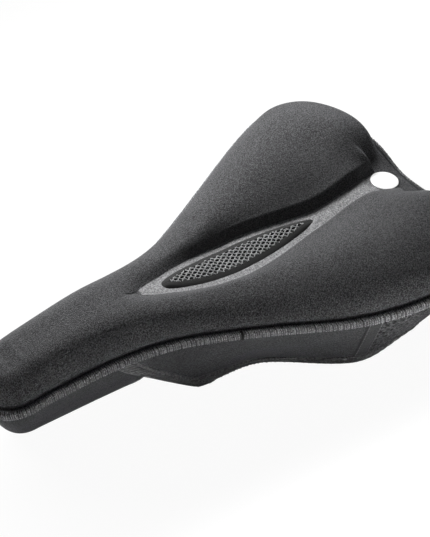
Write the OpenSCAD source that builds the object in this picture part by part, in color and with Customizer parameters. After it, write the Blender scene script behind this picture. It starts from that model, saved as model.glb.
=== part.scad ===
// Padded bicycle saddle cover, lying on a table as it is sold.
// The nose points along +X, the left side along +Y, and the hems stand on Z = 0.
// The soft pieces are lofted between a plan outline, set in from the rim step by step,
// and heights worked out from the rim, the pad and the relief channel.

/* [Outline] */
// Overall length, nose tip to tail
length = 277; // [250:1:310]
// Width across the wings
wing_w = 178; // [155:1:195]
// Width of the nose at its tip, before the rounding
tip_w = 47; // [42:1:52]
// Width of the nose where it starts to flare
nose_w = 59; // [54:1:64]
// Length over which the nose widens behind its rounded end
taper_len = 70; // [50:1:85]
// Nose tip to the start of the flare into the wings
nose_len = 88; // [75:1:98]
// Tail to the place where the flare reaches the full width
wing_back = 33; // [25:1:50]
// Length of the rounded nose end
nose_round = 26; // [22:1:34]
// Length of the rounded tail corners
tail_round = 55; // [48:1:70]
// Fullness of the rounded ends, 2 is an ellipse
corner_power = 2.3; // [2:0.1:2.6]
// Depth of the shallow notch in the middle of the tail
notch_depth = 6; // [2:0.5:10]
// Width of that notch
notch_w = 74; // [60:1:84]

/* [Pad] */
// Height of the foot of the pad above the table, along the nose
foot_z = 37.5; // [34:0.5:42]
// Rise of the foot along the middle of the nose
nose_arch = 5.5; // [2:0.5:8]
// Nose tip to the highest place of that rise
arch_at = 70; // [60:1:80]
// Reach of that rise towards the nose tip
arch_front = 65; // [50:1:80]
// Reach of that rise towards the wings
arch_back = 66; // [50:1:80]
// Droop of the foot round the nose end
tip_droop = 2; // [0:0.5:4]
// Reach of that droop from the nose tip
droop_len = 33; // [26:1:45]
// Rise of the foot to the tail
rear_rise = 13.5; // [9:0.5:15]
// Nose tip to the start of the rise to the tail
rise_at = 178; // [165:1:190]
// Height of the pad above its foot along the nose
nose_h = 18.5; // [15:0.5:22]
// Height of the pad above its foot at the neck, behind the nose
neck_h = 15.5; // [13:0.5:19]
// Nose tip to the neck
neck_at = 138; // [125:1:145]
// Length over which the pad rises from the neck to the wings
neck_run = 80; // [60:1:95]
// Height of the pad above its foot on the wings
wing_h = 22.5; // [18:0.5:26]
// Height of the pad above its foot at the rear ends of the wings
tail_h = 17; // [14:0.5:20]
// Distance from the outline over which the wings round down to their foot
pad_round = 38; // [30:1:42]
// The same distance at the rear ends of the wings
lobe_round = 18; // [14:1:22]
// Width of the flat top of the nose
ridge_w = 14; // [8:0.5:18]
// Nose tip to the place where the flat top starts to fork into the wings
fork_front = 60; // [45:1:75]
// Length of that fork
fork_len = 65; // [50:1:80]
// Width of the flat top across the fork
fork_w = 30; // [24:0.5:34]
// Bulge of the pad's side over its foot
side_bulge = 1; // [0:0.25:2]
// Width of the sewn flange round the pad
flange_w = 3; // [3:0.25:5]
// Droop of that flange to its edge
rim_droop = 0.8; // [0.4:0.1:2]
// Width of the low middle of the tail, between the rear ends of the wings
lobe_gap = 50; // [46:1:58]
// Distance across the tail from which each wing is at full height
lobe_span = 94; // [84:1:110]
// Distance across the tail from which the foot of each wing is at full height
rise_span = 170; // [140:1:174]

/* [Relief channel] */
// Nose tip to the pointed front end of the channel
channel_front = 99; // [94:1:103]
// Length of the dip that leads into the channel
channel_ramp = 10; // [6:1:16]
// Greatest width of the channel
channel_w = 35.5; // [33:0.5:40]
// Nose tip to the widest place of the channel
channel_widest = 162.5; // [155:0.5:172]
// Width of the channel at its throat, behind the vent
throat_w = 16.5; // [14:0.5:20]
// Tail to the throat
throat_back = 49; // [44:1:56]
// Width of the channel where it runs out at the tail
funnel_w = 44; // [38:1:52]
// Height of the channel floor beside the vent above the foot of the pad
floor_h = 6.5; // [5:0.5:9]
// Rise of the channel's floor ahead of the vent, up to its front tip
tip_rise = 10; // [6:0.5:12]
// Rise of the floor behind the vent
tail_lift = 5.5; // [3:0.5:8]
// Slope of the floor from the top of that rise down to the tail
tail_slope = 0.2; // [0.1:0.02:0.3]
// Tail to the top of that rise
rise_back = 34; // [30:1:40]
// Height of the raised edge along the channel above its floor
lip_h = 4.5; // [2:0.5:6]
// Width of the steep channel wall beside the vent
wall_run = 3.7; // [2.5:0.1:5]
// Width of the wall at the tail
funnel_run = 4.5; // [3:0.5:7]

/* [Vent] */
// Nose tip to the front of the vent slot
slot_front = 115; // [110:1:120]
// Length of the vent slot
slot_len = 97; // [84:1:100]
// Width of the vent slot
slot_w = 19; // [16:0.5:21]
// Fullness of the leaf shape of the slot
slot_power = 0.6; // [0.5:0.05:0.9]
// Overlap of the net under the skin
net_margin = 1.5; // [1:0.25:2]
// Width of the smooth border that shows round the net
border_w = 3.6; // [2:0.2:4.4]
// Length of one net opening along the vent
net_pitch_x = 4; // [3.5:0.25:6]
// Pitch of the net across the vent
net_pitch_y = 3; // [2.5:0.25:4]
// Width of the net strands
strand_w = 0.9; // [0.7:0.1:1.2]

/* [Layers] */
// Thickness of the top skin
skin_t = 1; // [0.8:0.1:1.6]
// Thickness of the base lining
lining_t = 0.8; // [0.6:0.1:1.2]
// Thickness of the net
net_t = 0.8; // [0.6:0.1:1.2]
// Thickness of the smooth border film
border_t = 0.5; // [0.3:0.1:0.8]
// Thickness of the foam under the channel floor, with the net in it
floor_pad = 5; // [4:0.5:7]
// Thickness of the gel insoles at their middle
gel_h = 6; // [3:0.5:8]
// Thickness of the gel insoles at their edge
gel_edge = 2; // [1:0.5:3]
// Thickness of the foam at the foot of the pad
foam_edge = 1.4; // [1:0.1:2]
// Clearance between layers
gap = 0.25; // [0.2:0.05:0.35]
// Clearance at the sewn rim, under the stitches and over the skirts
sew_gap = 0.5; // [0.4:0.05:0.7]

/* [Rim] */
// Thickness of the overlocked edge
edge_t = 0.8; // [0.6:0.1:1.2]
// Reach of the overlock stitches over the flange
edge_reach = 2.5; // [2:0.25:3]
// Reach of the overlock stitches under the rim
edge_under = 2.2; // [1.5:0.1:3]

/* [Skirt] */
// Thickness of the skirt fabric
skirt_t = 0.8; // [0.6:0.1:1.2]
// Thickness of the elastic hems
hem_t = 1.8; // [1.4:0.1:2.4]
// Width of the elastic hems
hem_w = 6; // [4:0.5:8]
// Distance that the lower hem is drawn in from the outline
hem_in = 13; // [9:0.5:18]
// Flare of the front corner of each side panel
corner_flare = 11; // [4:0.5:12]
// Bulge of the lower hem beside the wings
hip_bulge = 7; // [0:0.5:8]
// Nose tip to the middle of that bulge
hip_at = 190; // [180:1:205]
// Reach of the bulge and of the flare along the hem
hem_reach = 40; // [30:1:50]
// Further draw-in of the hem round the tail
tail_in = 12; // [6:0.5:14]
// Nose tip to the top of the side panel's front edge
panel_front = 68; // [60:1:80]
// Length along which that front edge runs back on its way down
panel_sweep = 44; // [30:1:54]
// Tail to the seam between the side and rear panels
seam_back = 78; // [66:1:88]
// Lean of that seam: how much further forward it is at the hem
seam_lean = 9; // [0:0.5:14]
// Width of the tape over that seam
tape_w = 8; // [6:0.5:10]
// Thickness of the tape
tape_t = 0.5; // [0.4:0.1:0.8]

/* [Nose pocket] */
// Nose tip to the mouth of the pocket, at the bottom
pocket_len = 81; // [70:1:86]
// How much further back the pocket reaches at the rim
pocket_lap = 14; // [8:1:20]
// Fullness of the pocket's section, 2 is an ellipse
pocket_power = 2.1; // [2:0.1:3]
// Depth to which the bottom of the pocket is flat
sole_cut = 0.5; // [0.4:0.1:1]
// Clearance of the pocket inside the side panels
pocket_gap = 1; // [0.8:0.1:1.5]

/* [Trim] */
// Diameter of the plain round badge
badge_d = 16; // [12:0.5:16.5]
// Thickness of the badge
badge_t = 0.6; // [0.4:0.1:1]
// Tail notch to the middle of the badge
badge_back = 13.5; // [13.5:0.5:18]
// Diameter of the grip dots on the lining
dot_d = 5; // [3:0.5:6]
// Height of the grip dots
dot_h = 1.2; // [0.8:0.1:2]
// Spacing of the grip dots
dot_pitch = 13; // [10:1:18]

/* [Hidden] */

skin_colour = "#3c3c3e";
foam_colour = "#b9b4a4";
gel_colour = "#7d8f9c";
net_colour = "#6f7072";
badge_colour = "#f2f2f0";
lining_colour = "#232325";
dot_colour = "#8b8d90";
edge_colour = "#5c5c5e";
skirt_colour = "#38383a";
hem_colour = "#4c4c4e";
rear_colour = "#2a2a2c";

// Places along the length
nose_x = length / 2;
tail_x = -length / 2 - tail_round * (1 - corner(notch_w / wing_w));
nose_c = nose_x - nose_round;
tail_c = tail_x + tail_round;
flare_x = nose_x - nose_len;
wing_x = tail_x + wing_back;
tip_x = nose_x - channel_front;
widest_x = nose_x - channel_widest;
throat_x = tail_x + throat_back;
slot_front_x = nose_x - slot_front;
slot_rear_x = slot_front_x - slot_len;
seam_x = tail_x + seam_back;
panel_front_x = nose_x - panel_front;
hip_x = nose_x - hip_at;
arch_x = nose_x - arch_at;
neck_x = nose_x - neck_at;
rise_x = nose_x - rise_at;
fork_x = nose_x - fork_front;
crown_x = tail_x + rise_back;

// Shape of the curves
row_crowd = 0.6;
channel_power = 0.6;
slope_at = 0.5;
slope_fall = 0.37;
round_power = 0.7;
ramp_lead = 2;
lip_most = 0.6;
slot_lead = 0.85;
swell_lead = 0.4;
edge_least = 0.25;
edge_most = 0.8;
wall_most = 0.35;
hem_line = 0.4;
front_line = 0.5;
gel_power = 0.6;

// Distances in from the outline
edge_in = edge_t + gap;
foot_in = edge_in + flange_w;
seat_in = foot_in + skin_t + gap;
skirt_in = edge_under + sew_gap;
pocket_in = skirt_in + skirt_t + pocket_gap;

// Heights
floor_z = foot_z + floor_h;
lining_z = -skin_t - gap;
crown_z = floor_z - floor_pad;
foam_floor = skin_t + border_t + net_t + 3 * gap;

// Rows of the pad from the nose tip to the tail: the channel and the slot start and end on a row
nose_rows = 8;
ramp_rows = 3;
lift_x = slot_front_x + (tip_x - slot_front_x) / ramp_rows;
slot_rows = 8;
tail_rows = 11;
slot_first = nose_rows + ramp_rows;
slot_last = slot_first + slot_rows;
rows = slot_last + tail_rows;

// Columns of the pad: share of the way from the foot of the pad to its full height
dome_steps = [0, 0.05, 0.18, 0.45, 1];
dome_power = 2;

function mix(a, b, u) = a + (b - a) * u;
function clip(u) = max(0, min(1, u));
function smooth(a, b, v) = let (u = clip((v - a) / (b - a))) u * u * (3 - 2 * u);
function crowd(u) = u * u * mix(1 + row_crowd, 1, u);

// Plan outline
function flare(x) = smooth(flare_x, wing_x, x);
function nose_half(x) = mix(tip_w, nose_w, clip((nose_c - x) / taper_len)) / 2;
function main_half(x) = mix(nose_half(x), wing_w / 2, flare(x));
function nose_u(x) = clip((x - nose_c) / nose_round);
function tail_u(x) = clip((tail_c - x) / tail_round);
function corner(u) = pow(max(0, 1 - pow(u, corner_power)), 1 / corner_power);
function cap(x) = corner(nose_u(x)) * corner(tail_u(x));
function out_y(x) = main_half(x) * cap(x);
function ridge(x) = mix(ridge_w, fork_w, smooth(fork_x, fork_x - fork_len, x)) / 2;
function dome_in(x) = mix(mix(nose_half(x) - ridge(x), pad_round, pow(flare(x), round_power)),
    lobe_round, tail_u(x));
function notch(x, d) = x > tail_c ? 0
    : notch_depth * (1 - smooth(0, notch_w / 2, out_y(x))) * (1 - clip(d / dome_in(x)));
function shrink_x(x, d) = x > nose_c ? nose_c + nose_u(x) * (nose_round - d)
    : x < tail_c ? tail_c - tail_u(x) * (tail_round - d) : x;
function inset(x, d) = [shrink_x(x, d) + notch(x, d), (main_half(x) - d) * cap(x)];
function station(i) = i <= nose_rows ? nose_x - channel_front * crowd(i / nose_rows)
    : i <= slot_first ? mix(tip_x, slot_front_x, (i - nose_rows) / ramp_rows)
    : i <= slot_last ? slot_front_x - slot_len * (i - slot_first) / slot_rows
    : tail_x + (slot_rear_x - tail_x) * crowd((rows - i) / tail_rows);

// Relief channel and vent slot: half widths along the length
function channel_half(x) = x > tip_x ? 0
    : x > widest_x ? channel_w / 2 * pow(sin(90 * (tip_x - x) / (tip_x - widest_x)), channel_power)
    : x > throat_x ? mix(channel_w, throat_w, smooth(widest_x, throat_x, x)) / 2
    : mix(throat_w, funnel_w, pow(clip((throat_x - x) / throat_back), 2)) / 2;
function slot_u(x) = clip((slot_front_x - x) / slot_len);
function slot_half(x) = let (u = slot_u(x))
    u <= 0 || u >= 1 ? 0 : slot_w / 2 * pow(sin(180 * pow(u, slot_lead)), slot_power);

// Heights of the pad's outer surface
function dome(u) = pow(1 - pow(1 - u, dome_power), 1 / 2);
function lobe(x) = x > tail_c ? 1 : dome(clip((2 * out_y(x) - lobe_gap) / (lobe_span - lobe_gap)));
function foot_lobe(x) = x > tail_c ? 1 : smooth(lobe_gap / 2, rise_span / 2, out_y(x));
function arch(x) = nose_arch * (1 - smooth(0, 1, (x - arch_x) / (x > arch_x ? arch_front : -arch_back)));
function side_height(x) = foot_z + arch(x) - tip_droop * smooth(nose_x - droop_len, nose_x, x)
    + rear_rise * smooth(rise_x, tail_x, x);
function floor_height(x) = floor_z + tip_rise * smooth(lift_x, tip_x, x)
    + tail_lift * smooth(slot_rear_x, crown_x, x)
    - tail_slope * max(0, crown_x - x);
function foot_height(x) = mix(floor_height(inset(x, foot_in)[0]), side_height(x), foot_lobe(x));
function flange_z(x, d) = foot_height(x) - rim_droop * max(0, (foot_in - d) / flange_w);
function front_height(x) = mix(nose_h, neck_h, smooth(arch_x, neck_x, x));
function wing_height(x) = mix(front_height(x), wing_h, smooth(neck_x, neck_x - neck_run, x));
function pad_height(x) = mix(wing_height(x), tail_h, smooth(rise_x, tail_x, x));
function crest(x) = mix(floor_height(crest_pt(x)[0]), side_height(x) + pad_height(x), lobe(x));
function channel_share(x) = 1 - smooth(tip_x - ramp_lead, tip_x + channel_ramp, x);
function swell(u) = let (v = pow(u, swell_lead)) 4 * v * (1 - v);

// Plan places of the inner columns on one spoke: crest, slope, channel edge, wall foot, slot edge
function crest_pt(x) = inset(x, dome_in(x));
function edge_y(m) = min(max(channel_half(m[0]), edge_least * m[1]), edge_most * m[1]);
function wall_width(x) = mix(wall_run, funnel_run, smooth(throat_x, tail_x + lobe_round, x));
function foot_y(m) = edge_y(m) - min(wall_width(m[0]), wall_most * edge_y(m));
function vent_y(x, m) = x <= slot_front_x && x >= slot_rear_x ? slot_half(x) : 0.5 * foot_y(m);

// One spoke of the pad at depth d under its outer surface, and d_floor under the channel floor
function pad_spoke(x, d, d_floor) = let (
    m = crest_pt(x),
    top = crest(x) - d,
    low = foot_height(x) - d,
    ch = channel_share(m[0]),
    floor_top = floor_height(m[0]),
    rise = max(0, crest(x) - floor_top),
    lip = min(lip_h, lip_most * rise) * smooth(tip_x, slot_front_x, m[0]),
    drop = ch * (rise - lip),
    bed = mix(crest(x), floor_top, ch) - mix(d, d_floor, ch * (1 - tail_u(x))),
    ye = edge_y(m),
    yb = foot_y(m),
    start = foot_in + d,
    rim = inset(x, edge_in))
    concat([[rim[0], rim[1], flange_z(x, edge_in) - d]],
        [for (u = dome_steps) let (
            p = inset(x, mix(start, dome_in(x), u) - side_bulge * lobe(x) * swell(u)))
            [p[0], p[1], mix(low, top, mix(u, dome(u), lobe(x)))]],
        [[m[0], mix(m[1], ye, slope_at), top - drop * slope_fall],
         [m[0], min(ye + 0.6 * d, mix(ye, m[1], 0.4)), top - drop],
         [m[0], min(yb + d, mix(yb, ye, 0.6)), bed],
         [m[0], vent_y(x, m), bed],
         [m[0], 0, bed]]);

// Top of the lining between its edge and the foot of the foam
function base_rim(x, d) = lining_z
    + mix(flange_z(x, edge_in), foot_height(x) - foam_edge, (d - edge_in) / (seat_in - edge_in));

// One spoke of the base: flat under the pad, falling to the rim, d below the lining's top
function base_spoke(x, d) = let (
    m = crest_pt(x),
    low = base_rim(x, seat_in),
    rim = inset(x, edge_in))
    concat([[rim[0], rim[1], base_rim(x, edge_in) - d]],
        [for (u = dome_steps) let (p = inset(x, mix(seat_in, dome_in(x), u)))
            [p[0], p[1], mix(low, crown_z, 1 - pow(1 - u, 2)) - d]],
        [[m[0], mix(m[1], edge_y(m), slope_at), crown_z - d],
         [m[0], edge_y(m), crown_z - d],
         [m[0], foot_y(m), crown_z - d],
         [m[0], vent_y(x, m), crown_z - d],
         [m[0], 0, crown_z - d]]);

function flip(p) = [p[0], -p[1], p[2]];

// Closed shell between two grids of points on the left side and their mirror images.
// Rows run back, columns run in. A side named in shut lies on the mirror plane; the others get a wall.
// On shut end rows the columns from merge on meet in one point.
// Where hole is [first row, last row, column], the cells inside that column are left open.
module mirrored_shell(outer, inner, shut, merge = 1000, hole = []) {
    n = len(outer) - 1;
    k = len(outer[0]) - 1;
    count = (n + 1) * (k + 1);
    first_shut = search("f", shut) != [];
    last_shut = search("l", shut) != [];
    inner_shut = search("i", shut) != [];
    near = concat([for (r = outer) each r], [for (r = inner) each r]);
    points = concat(near, [for (p = near) flip(p)]);
    function on_plane(i, j) = (first_shut && i == 0) || (last_shut && i == n) || (inner_shut && j == k);
    function hole_end(i, j) = hole != [] && j == hole[2] && (i == hole[0] || i == hole[1]);
    function end_point(i, j) = j >= merge && ((first_shut && i == 0) || (last_shut && i == n));
    function at(i, j, layer, side) = let (jj = hole_end(i, j) || end_point(i, j) ? k : j)
        i * (k + 1) + jj + layer * count + (on_plane(i, jj) ? 0 : side * 2 * count);
    function cut(i, j) = hole != [] && j >= hole[2] && i >= hole[0] && i < hole[1];
    function quad(a, b, c, d) = [[a, c, b], [a, d, c]];
    cells = [for (i = [0 : n - 1], j = [0 : k - 1]) if (!cut(i, j)) [i, j]];
    skins = [for (s = [0, 1], q = cells) let (i = q[0], j = q[1])
        each concat(
            s == 0 ? quad(at(i, j, 0, s), at(i + 1, j, 0, s), at(i + 1, j + 1, 0, s), at(i, j + 1, 0, s))
                   : quad(at(i, j, 0, s), at(i, j + 1, 0, s), at(i + 1, j + 1, 0, s), at(i + 1, j, 0, s)),
            s == 0 ? quad(at(i, j, 1, s), at(i, j + 1, 1, s), at(i + 1, j + 1, 1, s), at(i + 1, j, 1, s))
                   : quad(at(i, j, 1, s), at(i + 1, j, 1, s), at(i + 1, j + 1, 1, s), at(i, j + 1, 1, s)))];
    function wall(i0, j0, i1, j1, s) = s == 0
        ? quad(at(i0, j0, 0, s), at(i0, j0, 1, s), at(i1, j1, 1, s), at(i1, j1, 0, s))
        : quad(at(i0, j0, 0, s), at(i1, j1, 0, s), at(i1, j1, 1, s), at(i0, j0, 1, s));
    walls = [for (s = [0, 1]) each concat(
        [for (i = [0 : n - 1]) each wall(i, 0, i + 1, 0, s)],
        inner_shut ? [] : [for (i = [0 : n - 1]) each wall(i + 1, k, i, k, s)],
        first_shut ? [] : [for (j = [0 : k - 1]) each wall(0, j + 1, 0, j, s)],
        last_shut ? [] : [for (j = [0 : k - 1]) each wall(n, j, n, j + 1, s)],
        hole == [] ? [] : [for (i = [hole[0] : hole[1] - 1]) each wall(i + 1, hole[2], i, hole[2], s)])];
    faces = [for (f = concat(skins, walls)) if (f[0] != f[1] && f[1] != f[2] && f[2] != f[0]) f];
    polyhedron(points, faces);
}

// Closed sheet between two grids of points, with a wall on each side
module sheet(outer, inner) {
    n = len(outer) - 1;
    k = len(outer[0]) - 1;
    count = (n + 1) * (k + 1);
    function at(i, j, layer) = i * (k + 1) + j + layer * count;
    function quad(a, b, c, d) = [[a, c, b], [a, d, c]];
    function wall(i0, j0, i1, j1) = quad(at(i0, j0, 0), at(i0, j0, 1), at(i1, j1, 1), at(i1, j1, 0));
    faces = concat(
        [for (i = [0 : n - 1], j = [0 : k - 1]) each concat(
            quad(at(i, j, 0), at(i + 1, j, 0), at(i + 1, j + 1, 0), at(i, j + 1, 0)),
            quad(at(i, j, 1), at(i, j + 1, 1), at(i + 1, j + 1, 1), at(i + 1, j, 1)))],
        [for (i = [0 : n - 1]) each concat(wall(i, 0, i + 1, 0), wall(i + 1, k, i, k))],
        [for (j = [0 : k - 1]) each concat(wall(0, j + 1, 0, j), wall(n, j, n, j + 1))]);
    polyhedron(concat([for (r = outer) each r], [for (r = inner) each r]), faces);
}

// Closed ring swept through a loop of sections that have the same number of points
module swept_ring(sections) {
    n = len(sections);
    k = len(sections[0]);
    polyhedron([for (s = sections) each s],
        [for (i = [0 : n - 1], j = [0 : k - 1]) let (
            i2 = (i + 1) % n, j2 = (j + 1) % k,
            a = i * k + j, b = i2 * k + j, c = i2 * k + j2, d = i * k + j2)
            each [[a, b, c], [a, c, d]]]);
}

// Skirt: distance in from the outline and height, h from 0 at the rim to 1 at the hem
function bump(x, middle, reach) = 1 - smooth(0, reach, abs(x - middle));
function hem_draw(x) = hem_in - skirt_in - corner_flare * bump(x, corner_x, hem_reach)
    - hip_bulge * bump(x, hip_x, hem_reach) + tail_in * smooth(hip_x, wing_x, x);
function under_rim(x, d) = base_rim(x, d) - lining_t - sew_gap;
function skirt_pt(x, h, d) = let (p = inset(x, skirt_in + hem_draw(x) * mix(h * h, h, hem_line) + d))
    [p[0], p[1], mix(under_rim(x, skirt_in), 0, h)];
function seam(h) = seam_x + seam_lean * h;
function front_edge(h) = panel_front_x - panel_sweep * mix(h, h * h, front_line);

// Nose pocket: h from 0 at the rim to 1 on the middle line of the sole
function mouth(h) = nose_x - pocket_len - pocket_lap * (1 - smooth(0, 1, h));
function pocket_pt(x, h, d) = let (
    half = main_half(x),
    reach = half - pocket_in - d,
    top = under_rim(x, pocket_in),
    across = pow(max(0, cos(90 * h)), 2 / pocket_power),
    down = pow(sin(90 * h), 2 / pocket_power),
    p = inset(x, half - reach * across))
    [p[0], h == 1 ? 0 : p[1], max(d, top - (top + sole_cut - d) * down)];

crest_column = len(dome_steps);
slot_column = crest_column + 4;
pad_rows = [for (i = [0 : rows]) station(i)];
lining_columns = [0, 1, 3, 4, 5, 10];
gel_rows = [slot_first + 3, rows - 4];
gel_columns = [4, 7];
corner_x = panel_front_x - panel_sweep;
skirt_steps = 4;
skirt_h = foot_z - rim_droop + lining_z - lining_t - sew_gap;
hem_share = hem_w / skirt_h;
hem_out = hem_t - skirt_t;
lip_share = (2 * edge_t + gap) / skirt_h;

// Thickness of the gel at a row and column of the pad, nothing outside its patch
function gel_at(i, j) = i < gel_rows[0] || i > gel_rows[1] || j < gel_columns[0] || j > gel_columns[1] ? 0
    : j == gel_columns[0] || j == gel_columns[1] ? gel_edge
    : let (u = (i - gel_rows[0]) / (gel_rows[1] - gel_rows[0]))
        mix(gel_edge, gel_h, pow(sin(180 * u), gel_power));

module top_skin() {
    color(skin_colour)
    mirrored_shell([for (x = pad_rows) pad_spoke(x, 0, 0)],
        [for (x = pad_rows) pad_spoke(x, skin_t, skin_t)],
        "fli", crest_column, [slot_first, slot_last, slot_column]);
}

// The foam starts at the foot of the pad and is hollowed underneath for the gel
module foam_core() {
    depth = skin_t + 1.5 * gap;
    upper = [for (x = pad_rows) let (s = pad_spoke(x, depth, foam_floor))
        [for (j = [1 : len(s) - 1]) s[j]]];
    lower = [for (i = [0 : rows]) let (
        s = base_spoke(pad_rows[i], -gap),
        t = pad_spoke(pad_rows[i], depth, 0))
        [for (j = [1 : len(s) - 1]) let (g = gel_at(i, j), p = j == 1 ? t[j] : s[j])
            [p[0], p[1], s[j][2] + (g > 0 ? g + gap : 0)]]];
    color(foam_colour)
    mirrored_shell(upper, lower, "fli", crest_column - 1, [slot_first, slot_last, slot_column - 1]);
}

module gel_insole() {
    lower = [for (i = [gel_rows[0] : gel_rows[1]]) let (s = base_spoke(pad_rows[i], -gap))
        [for (j = [gel_columns[0] : gel_columns[1]]) s[j]]];
    upper = [for (i = [gel_rows[0] : gel_rows[1]]) let (s = base_spoke(pad_rows[i], -gap))
        [for (j = [gel_columns[0] : gel_columns[1]]) s[j] + [0, 0, gel_at(i, j)]]];
    color(gel_colour)
    sheet(upper, lower);
}

module gel_insole_left() {
    gel_insole();
}

module gel_insole_right() {
    mirror([0, 1, 0]) gel_insole();
}

// Leaf outline of the vent slot, grown on all sides
leaf_steps = 24;
function leaf_y(u, grow) = (slot_w / 2 + grow) * pow(sin(180 * pow(u, slot_lead)), slot_power);
function leaf_pt(u, grow, side) = [slot_front_x + grow - (slot_len + 2 * grow) * u, side * leaf_y(u, grow)];
function leaf(grow) = concat([for (i = [0 : leaf_steps]) leaf_pt(i / leaf_steps, grow, 1)],
    [for (i = [leaf_steps - 1 : -1 : 1]) leaf_pt(i / leaf_steps, grow, -1)]);

module diamond() {
    half_x = (net_pitch_x - strand_w) / 2;
    half_y = (net_pitch_y - strand_w) / 2;
    polygon([[half_x, 0], [0, half_y], [-half_x, 0], [0, -half_y]]);
}

module vent_net() {
    columns = floor(slot_len / (net_pitch_x / 2));
    lanes = ceil(slot_w / net_pitch_y);
    color(net_colour)
    translate([0, 0, floor_z - skin_t - border_t - 2 * gap - net_t])
    linear_extrude(net_t)
    difference() {
        polygon(leaf(net_margin));
        for (i = [1 : columns - 1], k = [-lanes : lanes]) {
            x = slot_front_x - i * net_pitch_x / 2;
            y = (k + (i % 2) / 2) * net_pitch_y;
            room = min(slot_half(x - net_pitch_x / 2), slot_half(x + net_pitch_x / 2)) - border_w;
            if (abs(y) + net_pitch_y / 3 < room) translate([x, y]) diamond();
        }
    }
}

module vent_border() {
    color(edge_colour)
    translate([0, 0, floor_z - skin_t - gap - border_t])
    linear_extrude(border_t)
    difference() {
        polygon(leaf(net_margin));
        polygon(leaf(-border_w));
    }
}

// Plain disc, without any mark, on the slope of the tail
module badge() {
    x = tail_x + notch_depth + badge_back;
    color(badge_colour)
    translate([x, 0, floor_height(x) + gap])
    rotate([0, -atan(tail_slope), 0])
    cylinder(d = badge_d, h = badge_t, $fn = 64);
}

module base_lining() {
    color(lining_colour)
    mirrored_shell([for (x = pad_rows) let (s = base_spoke(x, 0)) [for (j = lining_columns) s[j]]],
        [for (x = pad_rows) let (s = base_spoke(x, lining_t)) [for (j = lining_columns) s[j]]],
        "fli", search(crest_column, lining_columns)[0]);
}

// Rows of soft dots under the flat part of the lining
module grip_dots() {
    count = floor(length / dot_pitch);
    lanes = floor(wing_w / dot_pitch / 2);
    color(dot_colour)
    for (i = [0 : count], k = [-lanes : lanes]) {
        x = nose_x - (i + 0.5) * dot_pitch;
        y = (k + (i % 2) / 2) * dot_pitch;
        room = x > nose_c || x < tail_c ? 0 : crest_pt(x)[1];
        if (abs(y) + dot_d < room)
            translate([x, y, crown_z - lining_t - gap - dot_h]) cylinder(d = dot_d, h = dot_h, $fn = 24);
    }
}

// Overlocked edge: a hooked band that holds the flange of the skin on the lining
module edge_binding() {
    high = sew_gap + edge_t;
    r = edge_t * 0.6;
    over = [[edge_reach, high], [r, high], [0, high - r]];
    under = [[0, r - edge_t], [r, -edge_t], [edge_under, -edge_t], [edge_under, 0], [edge_t, 0]];
    back = [[edge_t, sew_gap], [edge_reach, sew_gap]];
    function at(x, side, q, z) = let (p = inset(x, q[0])) [p[0], side * p[1], z + q[1]];
    function section(x, side) = concat([for (q = over) at(x, side, q, flange_z(x, q[0]))],
        [for (q = under) at(x, side, q, under_rim(x, q[0]))],
        [for (q = back) at(x, side, q, flange_z(x, q[0]))]);
    color(edge_colour)
    swept_ring(concat([for (i = [0 : rows]) section(pad_rows[i], 1)],
        [for (i = [rows - 1 : -1 : 1]) section(pad_rows[i], -1)]));
}

pocket_rows = 12;
pocket_steps = 8;
module nose_pocket() {
    function grid(d) = [for (i = [0 : pocket_rows]) [for (j = [0 : pocket_steps]) let (h = j / pocket_steps)
        pocket_pt(mix(nose_x, mouth(h) + hem_w, crowd(i / pocket_rows)), h, d)]];
    color(skirt_colour)
    mirrored_shell(grid(skirt_t), grid(0), "fi", pocket_steps - 1);
}

module nose_hem() {
    function grid(d) = [for (i = [0, 1]) [for (j = [0 : pocket_steps]) let (h = j / pocket_steps)
        pocket_pt(mouth(h) + (hem_w - gap) * (1 - i), h, d)]];
    color(hem_colour)
    mirrored_shell(grid(hem_t), grid(0), "i");
}

// Patch of the skirt between two places along the length, each given as a function of h
panel_rows = 12;
module skirt_patch(from, to, h_top, h_low, outside, inside, steps, across) {
    function grid(d) = [for (i = [0 : steps]) [for (j = [0 : across])
        let (h = mix(h_low, h_top, j / across))
        skirt_pt(mix(from(h), to(h), i / steps), h, d)]];
    sheet(grid(outside), grid(inside));
}

module side_panel() {
    color(skirt_colour)
    skirt_patch(function (h) front_edge(h) - hem_w - gap, function (h) seam(h) + gap / 2,
        0, 1 - hem_share - gap / skirt_h, 0, skirt_t, panel_rows, skirt_steps);
}

module side_panel_left() {
    side_panel();
}

module side_panel_right() {
    mirror([0, 1, 0]) side_panel();
}

module front_hem() {
    color(hem_colour)
    skirt_patch(function (h) front_edge(h), function (h) front_edge(h) - hem_w,
        lip_share, 1, -hem_out, skirt_t, 2, skirt_steps + 2);
}

module front_hem_left() {
    front_hem();
}

module front_hem_right() {
    mirror([0, 1, 0]) front_hem();
}

module side_hem() {
    color(hem_colour)
    skirt_patch(function (h) front_edge(h) - hem_w - gap, function (h) seam(h) + gap / 2,
        1 - hem_share, 1, -hem_out, skirt_t, panel_rows, 1);
}

module side_hem_left() {
    side_hem();
}

module side_hem_right() {
    mirror([0, 1, 0]) side_hem();
}

// The rear panel has the rows of the pad that lie behind its seam
tail_stations = [for (x = pad_rows) if (x < seam_x - hem_w) x];
tail_steps = len(tail_stations);
function tail_station(i, h) = i == 0 ? seam(h) - gap / 2 : tail_stations[i - 1];
function tail_grid(h_low, h_top, across, d) = [for (i = [0 : tail_steps]) [for (j = [0 : across])
    let (h = mix(h_low, h_top, j / across)) skirt_pt(tail_station(i, h), h, d)]];

module rear_panel() {
    low = 1 - hem_share - gap / skirt_h;
    color(rear_colour)
    mirrored_shell(tail_grid(low, 0, skirt_steps, 0), tail_grid(low, 0, skirt_steps, skirt_t), "l");
}

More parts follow.
